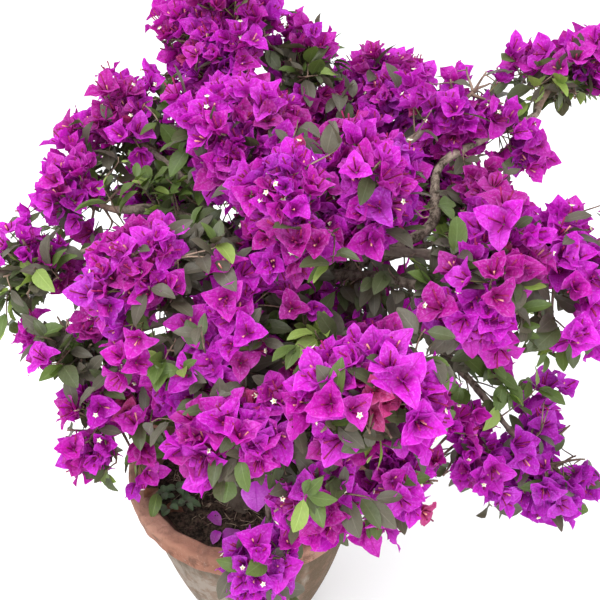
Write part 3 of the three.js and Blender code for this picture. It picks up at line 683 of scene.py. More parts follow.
def filling_tips(masses, wood, twig, random):
    """Fine twigs to an uneven lattice of tips in the hollows between the masses and in the core. Each
    starts at the wood that is nearest, with wood that lies further out than the tip held back."""
    middles = np.array([mass["middle"] for mass in masses])
    corners = zip(middles.min(0) - 0.1, middles.max(0) + 0.1)
    steps = [np.arange(low, high, twig.spacing) for low, high in corners]
    tips = np.stack(np.meshgrid(*steps, indexing="ij"), -1).reshape(-1, 3)
    tips += random.uniform(-0.45, 0.45, tips.shape) * twig.spacing
    melted, nearest = melted_outline(tips, masses)
    core = np.linalg.norm((tips - HEART) / CORE, axis=1) < 1
    keep = (nearest > 1.0) & ((melted < -0.03) | core)
    tips, melted = tips[keep], melted[keep]
    facing = unit(unit(tips - HEART) + 0.5 * UP + random.normal(scale=0.3, size=tips.shape))
    away = np.linalg.norm(tips[:, None] - wood, axis=2)
    out = np.linalg.norm(wood - HEART, axis=1) - np.linalg.norm(tips - HEART, axis=1)[:, None]
    foot = (away + 0.6 * np.maximum(out, 0)).argmin(1)
    close = away[np.arange(len(tips)), foot] < FILLING_REACH
    tips, melted, facing, foot = tips[close], melted[close], facing[close], foot[close]
    way = unit(tips - wood[foot])
    rise = unit(way + 0.4 * UP + random.normal(scale=0.2, size=tips.shape))
    free = (melted > CLOSE_TO_OUTLINE) & (random.random(len(tips)) < 0.42)
    return arcs(wood[foot], rise, tips, facing, FINE_POINTS), tips, facing, free, foot


def side_shoots(limbs, masses, random):
    """Short shoots from the boughs' outer halves wherever they run outside the masses."""
    lines = np.stack(list(limbs.values()))
    count = np.maximum(np.linalg.norm(np.diff(lines, axis=1), axis=2).sum(1) / 0.05, 3).astype(int)
    along = np.repeat(np.arange(len(lines)), count)
    feet, heading = at_share(lines[along], random.uniform(0.2, 0.98, len(along)))
    any_way = random.normal(size=heading.shape)
    aside = unit(any_way - (any_way * heading).sum(1, keepdims=True) * heading)
    rise = unit(aside + 0.6 * heading + 0.5 * UP)
    tips = feet + unit(rise + 0.5 * UP) * random.uniform(0.035, 0.08, (len(feet), 1))
    melted, nearest = melted_outline(tips, masses)
    facing = unit(rise + 0.6 * UP)
    found = arcs(feet, rise, tips, facing, FINE_POINTS), tips, facing, melted > CLOSE_TO_OUTLINE
    return tuple(part[nearest > 1.0] for part in found)


def placed_shoots(wood, random):
    """Shoots to tips at their places in the photograph, each from the wood nearest to it."""
    tips = np.array([from_photo(x, y, height) for x, y, height, _ in PLACED_SHOOTS])
    foot = np.linalg.norm(tips[:, None] - wood, axis=2).argmin(1)
    way = unit(tips - wood[foot])
    facing = unit(way + 0.5 * unit(CAMERA_PLACE - tips) + random.normal(scale=0.25, size=tips.shape))
    fine = arcs(wood[foot], unit(way + 0.4 * UP), tips, facing, FINE_POINTS)
    return fine, tips, facing, np.ones(len(tips), bool), foot


def grow_triads(grown, blossom):
    """Blossoms of three bracts, two to six to a spray: on short stalks from a joint behind the
    twig's tip, one straight on and the others leaning away from it all round."""
    random = np.random.default_rng(SPRAY_SEED)
    kind = grown["kind"]
    chosen = np.flatnonzero((kind == BLOSSOM) | ((kind == DARK) & (random.random(len(kind)) < 0.06)))
    choices, chances = BLOSSOMS_IN_SPRAY
    number = random.choice(choices, len(chosen), p=chances)
    places = grown["tips"][chosen]
    shade = (waves(places, 0.16, 5) + random.normal(scale=0.4, size=len(chosen))).repeat(number)
    shade += random.normal(scale=0.35, size=len(shade))
    size = (1 + 0.12 * waves(places, 0.25, 6)).repeat(number)
    spray = np.repeat(chosen, number)
    count = len(spray)
    order = np.concatenate([np.arange(k) for k in number])
    facing = grown["facing"][spray]
    angle = TURN * order / np.maximum(np.repeat(number, number) - 1, 1)
    angle += np.repeat(random.uniform(0, 6.3, len(chosen)), number)
    angle += random.normal(scale=0.25, size=count)
    tilt = np.where(order == 0, random.uniform(0, 0.3, count), random.uniform(0.7, 1.25, count))[:, None]
    way = facing * np.cos(tilt) + around(facing, SIDE + 0.01, angle) * np.sin(tilt)
    joint = grown["tips"][spray] - facing * blossom.stalk * 0.8
    base = joint + way * (blossom.stalk * random.uniform(0.75, 1.2, count))[:, None]
    axis = unit(0.9 * way + 0.2 * facing + 0.25 * UP + random.normal(scale=0.28, size=way.shape))
    heart = base + axis * 0.4 * blossom.bract_length
    keep = clear(heart, grown["arm"], *BLOSSOM_MARGINS)
    keep &= ~(near_side(heart) & in_windows(heart, LEAFY_WINDOWS, -2))
    x, _, z = heart.T
    # Bracts low down and toward the lower right lean to violet: darker and bluer toward the bottom
    low = np.clip((0.42 - z) / 0.1, 0, 1) + np.clip((x - 0.24) / 0.1, 0, 1) * (z < 0.5)
    turns_violet = shade + low * 1.6 > 1.1
    colour = np.select([turns_violet, shade > 0.25, shade > -0.7], [VIOLET, MIDDLE, BRIGHT], DEEP)
    colour = np.where(in_windows(heart, ROSY_WINDOWS) | (random.random(count) < 0.012), ROSY, colour)
    turn, open_share = random.uniform(0, TURN, count), random.uniform(0, 1, count)
    scale = (size * random.normal(1, 0.09, count) * np.where(colour == ROSY, 0.72, 1)).clip(0.6, 1.35)
    triads = {"joint": joint, "base": base, "heart": heart, "spray": spray, "axis": axis,
              "colour": colour, "turn": turn, "open": open_share, "scale": scale}
    return {name: part[keep] for name, part in triads.items()}


def nearest_gap(points, others):
    """From each point to the nearest of the others: the square of a distance is both squares less
    twice the product."""
    squares = (points**2).sum(1)[:, None] + (others**2).sum(1) - 2 * points @ others.T
    return np.sqrt(np.maximum(squares.min(1), 0))


def grow_leaves(grown, leaf):
    """Leaves at joints along the twigs, each a golden turn on from the last: a few below each spray,
    more on a leafy twig with a whorl at its tip, and ones inside the crown in darker colours as painted
    shade."""
    random = np.random.default_rng(LEAF_SEED)
    fine, kind = grown["fine"], grown["kind"]
    joints = []

    def add(lines, share, turn, where):
        """One joint at a share of each line."""
        joints.append((*at_share(lines, share), np.full(len(lines), turn), np.full(len(lines), where)))

    for bearer, number, end in ((BLOSSOM, leaf.below_spray, 0.85), (LEAFY, leaf.on_leafy, 1.0),
                                (DARK, leaf.inside, 1.0)):
        lines = fine[kind == bearer]
        for j in range(number):
            add(lines, mix(0.3, end, (j + random.random(len(lines))) / number), j * LEAF_TURN, bearer)
    for j in range(leaf.on_first):
        add(grown["main"], random.uniform(0.35, 1.0, len(grown["main"])), j * LEAF_TURN, DARK)
    lines = fine[kind == LEAFY]
    for j in range(leaf.whorl):
        add(lines, np.ones(len(lines)), j * TURN / leaf.whorl, WHORL)
    place, heading, turn, where = (np.concatenate(parts) for parts in zip(*joints))
    count = len(place)
    outward = unit(place - HEART)
    aside = around(heading, outward + 0.01, turn + random.uniform(0, TURN, count))
    along = heading * random.uniform(0.3, 0.8, (count, 1)) + aside + outward * 0.3
    along = unit(along + random.normal(scale=0.15, size=(count, 3)))
    face = unit(UP * 0.75 + outward * 0.45 + random.normal(scale=0.3, size=(count, 3)))
    length = leaf.length * random.uniform(0.6, 1.15, count) * np.where(where == WHORL, 0.85, 1)
    middle = place + along * length[:, None] * 0.55
    keep = clear(middle, grown["arm"], *LEAF_MARGINS)
    for reach in (0.55, 0.95):
        point = place + along * length[:, None] * reach
        keep &= nearest_gap(point, grown["triads"]["heart"]) > leaf.clearance
    # Leaves deep inside the crown or in the painted shade windows mostly turn dark: painted shade
    deep = (melted_outline(middle, grown["masses"])[0] < DEEP_INSIDE) | in_windows(middle, PAINTED_SHADE_WINDOWS)
    deep &= random.random(count) < 0.8
    where = np.where(deep, DARK, where)
    tone = random.random(count)
    shoot = in_windows(middle, SHOOT_WINDOWS)
    # Leaves inside the crown are painted shade: mostly the shade colour, the rest olive
    colour = np.select(
        [shoot & ~deep & (tone < 0.8), where == DARK, where == WHORL, where == LEAFY],
        [FRESH, np.where(tone < 0.75, SHADE, OLIVE), np.where(tone < 0.35, FRESH, GREEN),
         np.where(tone < 0.6, GREEN, OLIVE)], np.select([tone < 0.3, tone < 0.75], [GREEN, OLIVE], SHADE))
    leaves = {"base": place, "along": along, "face": face, "length": length, "colour": colour,
              "bend": random.uniform(0.1, 1.0, count)}
    return {name: part[keep] for name, part in leaves.items()}


# Blender pieces and materials

def add_piece(name, shape, material, slot="", nodes=()):
    """One mesh object from points, faces and, for blades, each point's place on its blade, which is
    kept as the UV map. With a slot it rides on the plant."""
    points, faces, *places = shape
    mesh = bpy.data.meshes.new(name)
    mesh.vertices.add(len(points))
    mesh.vertices.foreach_set("co", np.ascontiguousarray(points, np.float32).ravel())
    corners = np.ascontiguousarray(faces, np.int32)
    mesh.loops.add(corners.size)
    mesh.loops.foreach_set("vertex_index", corners.ravel())
    mesh.polygons.add(len(corners))
    mesh.polygons.foreach_set("loop_start", np.arange(0, corners.size, corners.shape[1], dtype=np.int32))
    mesh.polygons.foreach_set("use_smooth", np.full(len(corners), True))
    if places:
        layer = mesh.uv_layers.new(name="blade")
        layer.data.foreach_set("uv", places[0][corners.ravel()].astype(np.float32).ravel())
    mesh.update(calc_edges=True)
    mesh.materials.append(material)
    piece = bpy.data.objects.new(name, mesh)
    bpy.context.scene.collection.objects.link(piece)
    if slot:
        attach(piece, "root")
    if nodes:
        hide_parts(*nodes)
    return piece


def new_material(name, roughness, specular):
    """A material, its node tree and its main shader."""
    material = bpy.data.materials.new(name)
    material.use_nodes = True
    shader = material.node_tree.nodes["Principled BSDF"]
    shader.inputs["Roughness"].default_value = roughness
    shader.inputs["Specular IOR Level"].default_value = specular
    return material, material.node_tree, shader


def node(tree, kind, inputs=None, **settings):
    """A new node. Each input is a value or a socket to link from; colours are given without alpha."""
    made = tree.nodes.new("ShaderNode" + kind)
    for name, value in settings.items():
        setattr(made, name, value)
    for name, value in (inputs or {}).items():
        socket = made.inputs[name]
        if isinstance(value, bpy.types.NodeSocket):
            tree.links.new(value, socket)
        else:
            socket.default_value = (*value, 1.0) if socket.type == "RGBA" else value
    return made


def calc(tree, way, first, second=0.0):
    """The outcome of a sum, product or other way to calculate with numbers or sockets."""
    return node(tree, "Math", {0: first, 1: second}, operation=way).outputs[0]


def blend(tree, share, low, high):
    """The colour socket of a mix from low to high; both are colours or sockets."""
    return node(tree, "Mix", {0: share, 6: low, 7: high}, data_type="RGBA").outputs[2]


def between(tree, value, low, high, start, end):
    """A socket that goes smoothly from start to end as a value goes from low to high."""
    inputs = {"Value": value, "From Min": low, "From Max": high, "To Min": start, "To Max": end}
    return node(tree, "MapRange", inputs, interpolation_type="SMOOTHSTEP").outputs["Result"]


def layered(tree, tint, *layers):
    """A tint with others laid over it. Each layer has a value, the low and high ends of a range of it,
    the layer's share at both ends, and its colour."""
    for value, low, high, start, end, over in layers:
        tint = blend(tree, between(tree, value, low, high, start, end), tint, over)
    return tint


def noise(tree, scale, detail, stretch=(1, 1, 1), roughness=0.55, offset=0.0):
    """Noise on Object coordinates, drawn out along the axes with a small stretch."""
    place = node(tree, "TexCoord").outputs["Object"]
    mapped = node(tree, "Mapping", {"Vector": place, "Scale": stretch, "Location": (offset,) * 3})
    inputs = {"Vector": mapped.outputs["Vector"], "Scale": scale, "Detail": detail, "Roughness": roughness}
    return node(tree, "TexNoise", inputs).outputs["Fac"]


def dress(tree, shader, tint, height, strength, distance):
    """Gives a shader its tint and its bump."""
    bump = node(tree, "Bump", {"Height": height, "Strength": strength, "Distance": distance})
    tree.links.new(tint, shader.inputs["Base Color"])
    tree.links.new(bump.outputs["Normal"], shader.inputs["Normal"])


def blade_material(name, body, base, edge, vein, roughness, glow, glow_share, veins, crinkle=0.3,
                   specular=0.3):
    """Thin blade: body colour, a darker base colour near its foot, which on bracts is partly painted shade
    in the blossom's cup, paler edges, a midrib and side veins that run up and out from it, a crinkled
    surface, and some light through it."""
    material, tree, shader = new_material(name, roughness, specular)
    place = node(tree, "SeparateXYZ", {"Vector": node(tree, "UVMap", uv_map="blade").outputs["UV"]})
    up = place.outputs["Y"]
    off_rib = calc(tree, "ABSOLUTE", calc(tree, "SUBTRACT", place.outputs["X"], 0.5))
    slant = calc(tree, "MULTIPLY", off_rib, veins * 0.7)
    run = calc(tree, "SUBTRACT", calc(tree, "MULTIPLY", up, veins), slant)
    stripe = calc(tree, "ABSOLUTE", calc(tree, "SINE", calc(tree, "MULTIPLY", run, math.pi)))
    marks = calc(tree, "MAXIMUM", between(tree, stripe, 0.0, 0.3, 0.3, 0.0),
                 between(tree, off_rib, 0.012, 0.04, 0.7, 0.0))
    tint = layered(tree, body,
                   (noise(tree, 24.0, 1.0), 0.45, 0.65, 0.0, 0.2, edge),
                   (noise(tree, 150.0, 3.0, offset=5.0), 0.36, 0.52, 0.45, 0.0, base),
                   (noise(tree, 380.0, 3.0), 0.48, 0.7, 0.0, 0.6, edge),
                   # Base colour toward the foot: the blade's own deeper colour, and on bracts partly
                   # painted shade in the blossom's cup
                   (up, 0.02, 0.5, 0.9, 0.0, base),
                   (off_rib, 0.38, 0.5, 0.0, 0.4, edge))
    dress(tree, shader, blend(tree, marks, tint, vein), noise(tree, 230.0, 3.0), crinkle, 0.0022)
    through = node(tree, "BsdfTranslucent", {"Color": glow})
    both = node(tree, "MixShader", {0: glow_share, 1: shader.outputs["BSDF"], 2: through.outputs["BSDF"]})
    tree.links.new(both.outputs["Shader"], tree.nodes["Material Output"].inputs["Surface"])
    return material


def bark_material(name, light, dark, scale):
    """Grey-brown bark: pale ridges, dark cracks along the wood, blotches of lichen grey, and the crack
    colour taking over low down."""
    material, tree, shader = new_material(name, 0.9, 0.15)
    fine = noise(tree, scale, 8.0, (1, 1, 0.55), 0.7)
    high = node(tree, "SeparateXYZ", {"Vector": node(tree, "TexCoord").outputs["Object"]}).outputs["Z"]
    tint = layered(tree, dark,
                   (fine, 0.36, 0.6, 0.0, 1.0, light),
                   (noise(tree, scale * 0.16, 3.0), 0.45, 0.62, 0.0, 0.55, [c * 1.5 + 0.03 for c in light]),
                   # Darker toward the bottom: the crack colour takes over below a height of 0.42
                   (high, 0.26, 0.42, 0.75, 0.0, dark))
    dress(tree, shader, tint, fine, 0.9, 0.002)
    return material


def clay_material(settings):
    """Weathered clay by height: a rust-pink band, and below it a wall bloomed white with lime, grey-brown
    on one side as damp clay and painted shade, with algae and the band's painted shadow under the band and
    dark damp stains running down."""
    material, tree, shader = new_material("weathered clay", 0.88, 0.2)
    place = node(tree, "SeparateXYZ", {"Vector": node(tree, "TexCoord").outputs["Object"]})
    right, back, high = (place.outputs[axis] for axis in "XYZ")
    cloud = noise(tree, 9.0, 5.0)
    patch = noise(tree, 36.0, 8.0, roughness=0.7, offset=3.0)
    fine = noise(tree, 210.0, 6.0, roughness=0.75)
    streak = noise(tree, 30.0, 6.0, (1, 1, 0.16), 0.6)

    def swayed(value, by, reach):
        """A value plus a reach of noise round its middle."""
        return calc(tree, "ADD", value, calc(tree, "MULTIPLY", calc(tree, "SUBTRACT", by, 0.5), reach))

    side = swayed(calc(tree, "MULTIPLY", right, 3.4), streak, 1.6)
    band = layered(tree, settings.band_colour,
                   (cloud, 0.42, 0.58, 0.0, 1.0, settings.band_pale),
                   (patch, 0.5, 0.62, 0.0, 0.7, settings.band_dark),
                   (fine, 0.56, 0.7, 0.0, 0.22, settings.lime_colour),
                   (high, 0.284, 0.298, 0.0, 0.4, settings.band_pale))
    wall = layered(tree, settings.lime_colour,
                   # Grey-brown toward the right side: damp clay, and painted shade on the side away from
                   # the lamp
                   (side, 0.0, 0.3, 0.0, 1.0, settings.damp_and_shade_colour),
                   (patch, 0.47, 0.58, 0.0, 0.7, settings.band_pale),
                   (streak, 0.53, 0.62, 0.0, 0.55, settings.algae_and_shadow_colour),
                   # Dark strip just under the band: algae, and painted shadow of the band's overhang
                   (swayed(high, streak, 0.16), 0.185, 0.236, 0.0, 0.85, settings.algae_and_shadow_colour),
                   (fine, 0.55, 0.65, 0.0, 0.22, settings.lime_colour))
    squares = calc(tree, "ADD", calc(tree, "POWER", right, 2.0), calc(tree, "POWER", back, 2.0))
    tint = layered(tree, wall,
                   (swayed(high, cloud, 0.012), 0.258, 0.264, 0.0, 1.0, band),
                   # Where the pot is narrower than 0.15, on most of the wall below the band and inside:
                   # three quarters grey-brown, damp clay and painted shade
                   (calc(tree, "SQRT", squares), 0.15, 0.155, 0.75, 0.0, settings.damp_and_shade_colour))
    dress(tree, shader, tint, calc(tree, "ADD", fine, calc(tree, "MULTIPLY", patch, 2.0)), 0.8, 0.002)
    return material


def plain_material(name, low, high, scale, roughness, bump=0.4, depth=0.001):
    """Two colours in noise, with the same noise as bump."""
    material, tree, shader = new_material(name, roughness, 0.2)
    grain = noise(tree, scale, 7.0, roughness=0.65)
    dress(tree, shader, layered(tree, low, (grain, 0.38, 0.62, 0.0, 1.0, high)), grain, bump, depth)
    return material


def stalk_material(name):
    """Green stalk, brown in places."""
    return plain_material(name, (0.09, 0.1, 0.035), (0.16, 0.13, 0.05), 90.0, 0.7)


# Settings: each function makes properties of one kind, with a name, a description and a default

def a_length(name, description, default):
    return FloatProperty(name=name, description=description, default=default, min=0, precision=4,
                         subtype="DISTANCE", unit="LENGTH")


def a_colour(name, description, default):
    return FloatVectorProperty(name=name, description=description, default=default, size=3, min=0, max=1,
                               subtype="COLOR")


def a_number(name, description, default):
    return FloatProperty(name=name, description=description, default=default)


def a_count(name, description, default):
    return IntProperty(name=name, description=description, default=default, min=0)


def a_power(name, description, default):
    return FloatProperty(name=name, description=description, default=default, subtype="POWER")


class BUSH_PG_pot(bpy.types.PropertyGroup):
    """Sizes and colours of the pot."""

    height: a_length("Height", "Height of the pot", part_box("pot")[1][2])
    band_radius: a_length("Band radius", "Outer radius of the band under the lip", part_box("pot")[1][0])
    unevenness: a_length("Unevenness", "How far the worn band strays from round", 0.0026)
    drain_radius: a_length("Drain radius", "Radius of a drain hole", 0.009)
    drain_reach: a_length("Drain reach", "From the pot's middle to a drain hole's", 0.045)
    band_colour: a_colour("Band", "Rust-pink clay of the band", (0.23, 0.1, 0.064))
    band_pale: a_colour("Pale band", "Paler worn clay", (0.31, 0.165, 0.12))
    band_dark: a_colour("Dark band", "Stained clay", (0.09, 0.042, 0.028))
    lime_colour: a_colour("Lime", "White lime bloom on the wall", (0.62, 0.56, 0.5))
    # Grey-brown of damp clay, which also serves as painted shade on the right side, below the band and
    # inside
    damp_and_shade_colour: a_colour("Damp", "Damp grey-brown wall", (0.095, 0.063, 0.038))
    # Also serves as the band's painted shadow just under it
    algae_and_shadow_colour: a_colour("Algae", "Green-brown growth under the band", (0.055, 0.045, 0.026))


class BUSH_PG_soil(bpy.types.PropertyGroup):
    """Surface of the soil and what lies on it."""

    lumps: a_length("Lumps", "Height of the soil's lumps", 0.0035)
    clods: a_count("Clods", "Number of loose clods", 420)
    straws: a_count("Straws", "Number of bits of straw and root", 260)
    dark: a_colour("Damp soil", "Colour in the hollows", (0.012, 0.008, 0.006))
    light: a_colour("Dry soil", "Colour on the lumps", (0.07, 0.047, 0.033))
    straw_colour: a_colour("Straw", "Colour of the bits of straw", (0.34, 0.26, 0.18))


class BUSH_PG_wood(bpy.types.PropertyGroup):
    """Bark of the trunk and boughs."""

    relief: a_length("Relief", "Depth of the bark's ridges", 0.0016)
    light: a_colour("Ridge", "Colour of the bark's ridges", (0.3, 0.24, 0.19))
    dark: a_colour("Crack", "Colour of the bark's cracks", (0.055, 0.04, 0.03))


class BUSH_PG_twigs(bpy.types.PropertyGroup):
    """Twigs of the masses."""

    spacing: a_length("Spacing", "Distance between tips under a mass's outline", 0.04)
    inner_share: a_number("Inner share", "Share kept of the tips between masses", 0.5)
    main_radius: a_length("First radius", "Radius of a first twig at its foot", 0.0024)
    fine_radius: a_length("Fine radius", "Radius of a fine twig at its foot", 0.0013)
    light: a_colour("Young twig", "Colour of young wood", (0.22, 0.15, 0.11))
    dark: a_colour("Old twig", "Colour of older wood", (0.08, 0.048, 0.038))


class BUSH_PG_leaves(bpy.types.PropertyGroup):
    """Leaves."""

    length: a_length("Length", "Length of a full leaf with its stalk", 0.043)
    width: a_number("Width", "Width over length", 0.47)
    below_spray: a_count("Below a spray", "Leaves under each spray of blossom", 1)
    on_leafy: a_count("On a leafy twig", "Leaves along a leafy twig", 3)
    whorl: a_count("Whorl", "Leaves at a leafy twig's tip", 3)
    inside: a_count("Inside", "Leaves on a twig inside the crown", 3)
    on_first: a_count("On a first twig", "Leaves on a mass's first twig", 1)
    clearance: a_length("Clearance", "Nearest that a leaf comes to the middle of a blossom", 0.011)
    green: a_colour("Leaf green", "Full leaf", (0.082, 0.125, 0.03))
    olive: a_colour("Olive", "Older leaf", (0.068, 0.083, 0.036))
    # Painted shade: dull grey-brown colour, mostly for the leaves deep inside the crown, and for some under
    # the sprays
    shade: a_colour("Shade leaf", "Leaf inside the crown", (0.09, 0.082, 0.06))
    fresh: a_colour("Fresh leaf", "Young yellow-green leaf", (0.2, 0.28, 0.065))


class BUSH_PG_blossom(bpy.types.PropertyGroup):
    """Bracts and flowers."""

    bract_length: a_length("Bract length", "Length of a bract", 0.029)
    bract_width: a_number("Bract width", "Width over length", 0.88)
    stalk: a_length("Stalk", "Stalk of a blossom", 0.023)
    spray_reach: a_length("Spray reach", "How far a spray reaches past its twig's tip", 0.031)
    layer: a_length("Layer", "Depth over which the sprays lie", 0.026)
    upturn: a_number("Upturn", "How far sprays turn up to the light", 0.45)
    patch: a_length("Patch", "Size of the patches of blossom and leaf", 0.13)
    leafy_level: a_number("Leafy level", "Noise level under which leaves take the place of blossom", -0.5)
    tube_length: a_length("Tube", "Length of a flower's tube", 0.019)
    star: a_length("Star", "Diameter of an open flower", 0.0078)
    bright: a_colour("Bright", "Bract in full colour", (0.52, 0.013, 0.5))
    middle: a_colour("Middle", "Bract a little redder", (0.48, 0.011, 0.39))
    violet: a_colour("Violet", "Older bract, bluer and darker", (0.42, 0.014, 0.45))
    deep: a_colour("Deep", "Darker bract", (0.38, 0.008, 0.26))
    rosy: a_colour("Rosy", "Young bract", (0.42, 0.03, 0.16))
    tube_colour: a_colour("Tube colour", "Dark red tube", (0.26, 0.009, 0.08))
    salmon: a_colour("Salmon", "Withered tube", (0.75, 0.3, 0.25))
    cream: a_colour("Cream", "Open flower", (0.9, 0.86, 0.7))


class BUSH_PG_stage(bpy.types.PropertyGroup):
    """Floor, light and camera."""

    floor_colour: a_colour("Floor", "Pale floor", (0.93, 0.93, 0.92))
    sky: a_number("Sky", "Strength of the light from all round", 1.42)
    key: a_power("Key light", "Power of the large lamp overhead", 68)
    fill: a_power("Fill light", "Power of the lamp beside the camera", 32)


SETTINGS = {
    "bush_pot": BUSH_PG_pot,
    "bush_soil": BUSH_PG_soil,
    "bush_wood": BUSH_PG_wood,
    "bush_twigs": BUSH_PG_twigs,
    "bush_leaves": BUSH_PG_leaves,
    "bush_blossom": BUSH_PG_blossom,
    "bush_stage": BUSH_PG_stage,
}
GROWN = {}


def growth(scene):
    """The crown's arrays, grown once and kept for the operators that draw on them."""
    if not GROWN:
        GROWN.update(grow(scene))
    return GROWN


# Operators

class BUSH_OT_stage(bpy.types.Operator):
    """Pale floor, soft light from above and the photograph's camera"""

    bl_idname = "bush.stage"
    bl_label = "Set the stage"

    def execute(self, context):
        settings = context.scene.bush_stage
        half = 7.0
        corners = np.array([[-half, -half, 0], [half, -half, 0], [half, half, 0], [-half, half, 0]])
        material = plain_material("pale floor", settings.floor_colour, settings.floor_colour, 3.0, 0.9, 0.0)
        floor = add_piece("floor", (corners, np.array([[0, 1, 2, 3]])), material)
        world = bpy.data.worlds.new("soft sky")
        world.use_nodes = True
        world.node_tree.nodes["Background"].inputs["Color"].default_value = (0.96, 0.98, 1.0, 1.0)
        world.node_tree.nodes["Background"].inputs["Strength"].default_value = settings.sky
        context.scene.world = world
        for name, place, size, power in (("key", (-0.9, -0.9, 2.8), 1.8, settings.key),
                                         ("fill", (0.9, -2.2, 1.6), 1.4, settings.fill)):
            lamp = bpy.data.lights.new(name, "AREA")
            lamp.size = size
            lamp.energy = power
            x, y, z = np.array([0.05, 0.05, 0.55]) - place
            turned_to = (math.atan2(math.hypot(x, y), -z), 0, math.atan2(x, -y) + math.pi)
            put(context, name, lamp, place, turned_to)
        lens = bpy.data.cameras.new("camera")
        lens.angle = FIELD_OF_VIEW
        pitched = (TURN / 4 - CAMERA_PITCH, 0, 0)
        context.scene.camera = put(context, "camera", lens, CAMERA_PLACE, pitched)
        context.scene.view_settings.view_transform = "Standard"
        return {"FINISHED"}


def put(context, name, data, place, turned_to):
    """A lamp or camera in its place."""
    holder = bpy.data.objects.new(name, data)
    holder.location = place
    holder.rotation_euler = turned_to
    context.scene.collection.objects.link(holder)
    return holder


class BUSH_OT_pot(bpy.types.Operator):
    """Weathered clay pot with a thick uneven band"""

    bl_idname = "bush.pot"
    bl_label = "Make the pot"

    def execute(self, context):
        settings = context.scene.bush_pot
        clay = clay_material(settings)
        shape = turned(pot_profile(settings), 160, lambda points: worn(points, settings))
        piece = add_piece("clay_pot", shape, clay, "clay", ("pot",))
        foot = level(TURN * (np.arange(3) + 0.5) / 3, settings.drain_reach, -0.05)
        holes = tubes(np.stack([foot, foot + UP * 0.09], 1), settings.drain_radius, 32)
        cutter = add_piece("drain_cutter", holes, clay)
        cut = piece.modifiers.new("drains", "BOOLEAN")
        cut.operation = "DIFFERENCE"
        cut.object = cutter
        whole = bpy.data.meshes.new_from_object(piece.evaluated_get(context.evaluated_depsgraph_get()))
        piece.modifiers.clear()
        piece.data = whole
        bpy.data.objects.remove(cutter)
        return {"FINISHED"}


def pot_profile(settings):
    """Radius and height pairs round the pot's wall: up the outside, over the band and lip, down the
    inside and back along the floor."""
    top, band = settings.height, settings.band_radius
    foot, shoulder, bulge, wall, floor_height = 0.09, 0.154, 0.009, 0.02, 0.024
    band_foot = top - 0.04
    mouth = 0.152

    def side(inset, low, high, steps):
        """A straight side with a bulge of half a sine wave."""
        height = np.linspace(low, high, steps)
        rise = height / band_foot
        return np.stack([mix(foot, shoulder, rise) + bulge * np.sin(math.pi * rise) - inset, height], 1)

    def corner(radius, height, size, start, end):
        """Part of a circle between two angles in degrees."""
        angle = np.radians(np.linspace(start, end, 6))
        return np.stack([radius + size * np.cos(angle), height + size * np.sin(angle)], 1)

    return np.concatenate([
        [[0, 0], [foot - 0.03, 0], [foot - 0.004, 0]], side(0, 0.003, band_foot - 0.003, 40),
        [[shoulder + 0.003, band_foot - 0.0005]], corner(band - 0.010, band_foot + 0.009, 0.008, -90, 0),
        np.stack([np.linspace(band - 0.002, band, 12), np.linspace(band_foot + 0.012, top - 0.008, 12)], 1),
        corner(band - 0.007, top - 0.007, 0.007, 0, 90), corner(mouth + 0.005, top - 0.005, 0.005, 90, 180),
        [[mouth - 0.001, top - 0.012]], side(wall, floor_height, band_foot, 18)[::-1],
        [[0.03, floor_height], [0, floor_height]],
    ])


def worn(points, settings):
    """The turned pot pushed in and out by broad noise, more on the band, and its lip worn down in
    places."""
    reach = np.maximum(np.hypot(points[:, 0], points[:, 1]), 1e-6)
    on_band = np.clip((points[:, 2] - 0.25) / 0.02, 0.25, 1) * (reach > 0.14)
    push = settings.unevenness * on_band * (waves(points, 0.16, 41) + 0.5 * waves(points, 0.035, 42))
    moved = points.copy()
    moved[:, :2] *= (1 + push / reach)[:, None]
    worn_down = np.clip((points[:, 2] - 0.285) / 0.015, 0, 1)
    chips = 1 + waves(points, 0.12, 43) + 0.6 * waves(points, 0.03, 44)
    moved[:, 2] -= worn_down * 0.0016 * chips.clip(0)
    return moved


class BUSH_OT_soil(bpy.types.Operator):
    """Lumpy soil with clods and bits of straw"""

    bl_idname = "bush.soil"
    bl_label = "Fill the pot"

    def execute(self, context):
        settings = context.scene.bush_soil
        (_, _, floor_height), (_, _, top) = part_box("soil")
        edge = 0.1355
        reach = edge * np.linspace(1, 0, 40)[:-1]
        surface = np.stack([reach, top - soil_drop(reach, edge - SOIL_LEVEL)], 1)
        profile = np.concatenate([[[0, floor_height], [0.06, floor_height], [0.072, floor_height + 0.001]],
                                  [[0.13, 0.2], [0.1345, 0.25]], surface, [[0, top]]])
        shape = turned(profile, 120, lambda points: lumpy(points, settings, top))
        soil = plain_material("soil", settings.dark, settings.light, 190.0, 1.0, 1.0, 0.003)
        add_piece("soil_surface", shape, soil, "soil", ("soil",))
        random = np.random.default_rng(SOIL_SEED)
        add_piece("clods", clods(random, settings.clods, top), soil, "soil")
        pale = settings.straw_colour
        straw = plain_material("straw", [c * 0.4 for c in pale], pale, 120.0, 0.9)
        add_piece("straws", straws(random, settings.straws, top), straw, "litter")
        return {"FINISHED"}


def soil_drop(reach, slope):
    """How far the soil lies below its top: nothing on the level middle, then more along a slope."""
    return SOIL_DROP * np.clip((reach - SOIL_LEVEL) / slope, 0, 1)


def lumpy(points, settings, top):
    """Soil's top raised and sunk by noise of three sizes; the rest stays."""
    reach = np.hypot(points[:, 0], points[:, 1])
    on_top = (points[:, 2] > top - 0.0085) * np.clip((0.137 - reach) / 0.004, 0, 1)
    rough = 0.6 * waves(points, 0.05, 61) + 0.4 * waves(points, 0.018, 62) + 0.25 * waves(points, 0.008, 63)
    moved = points.copy()
    moved[:, 2] += on_top * settings.lumps * (rough - 0.3)
    return moved


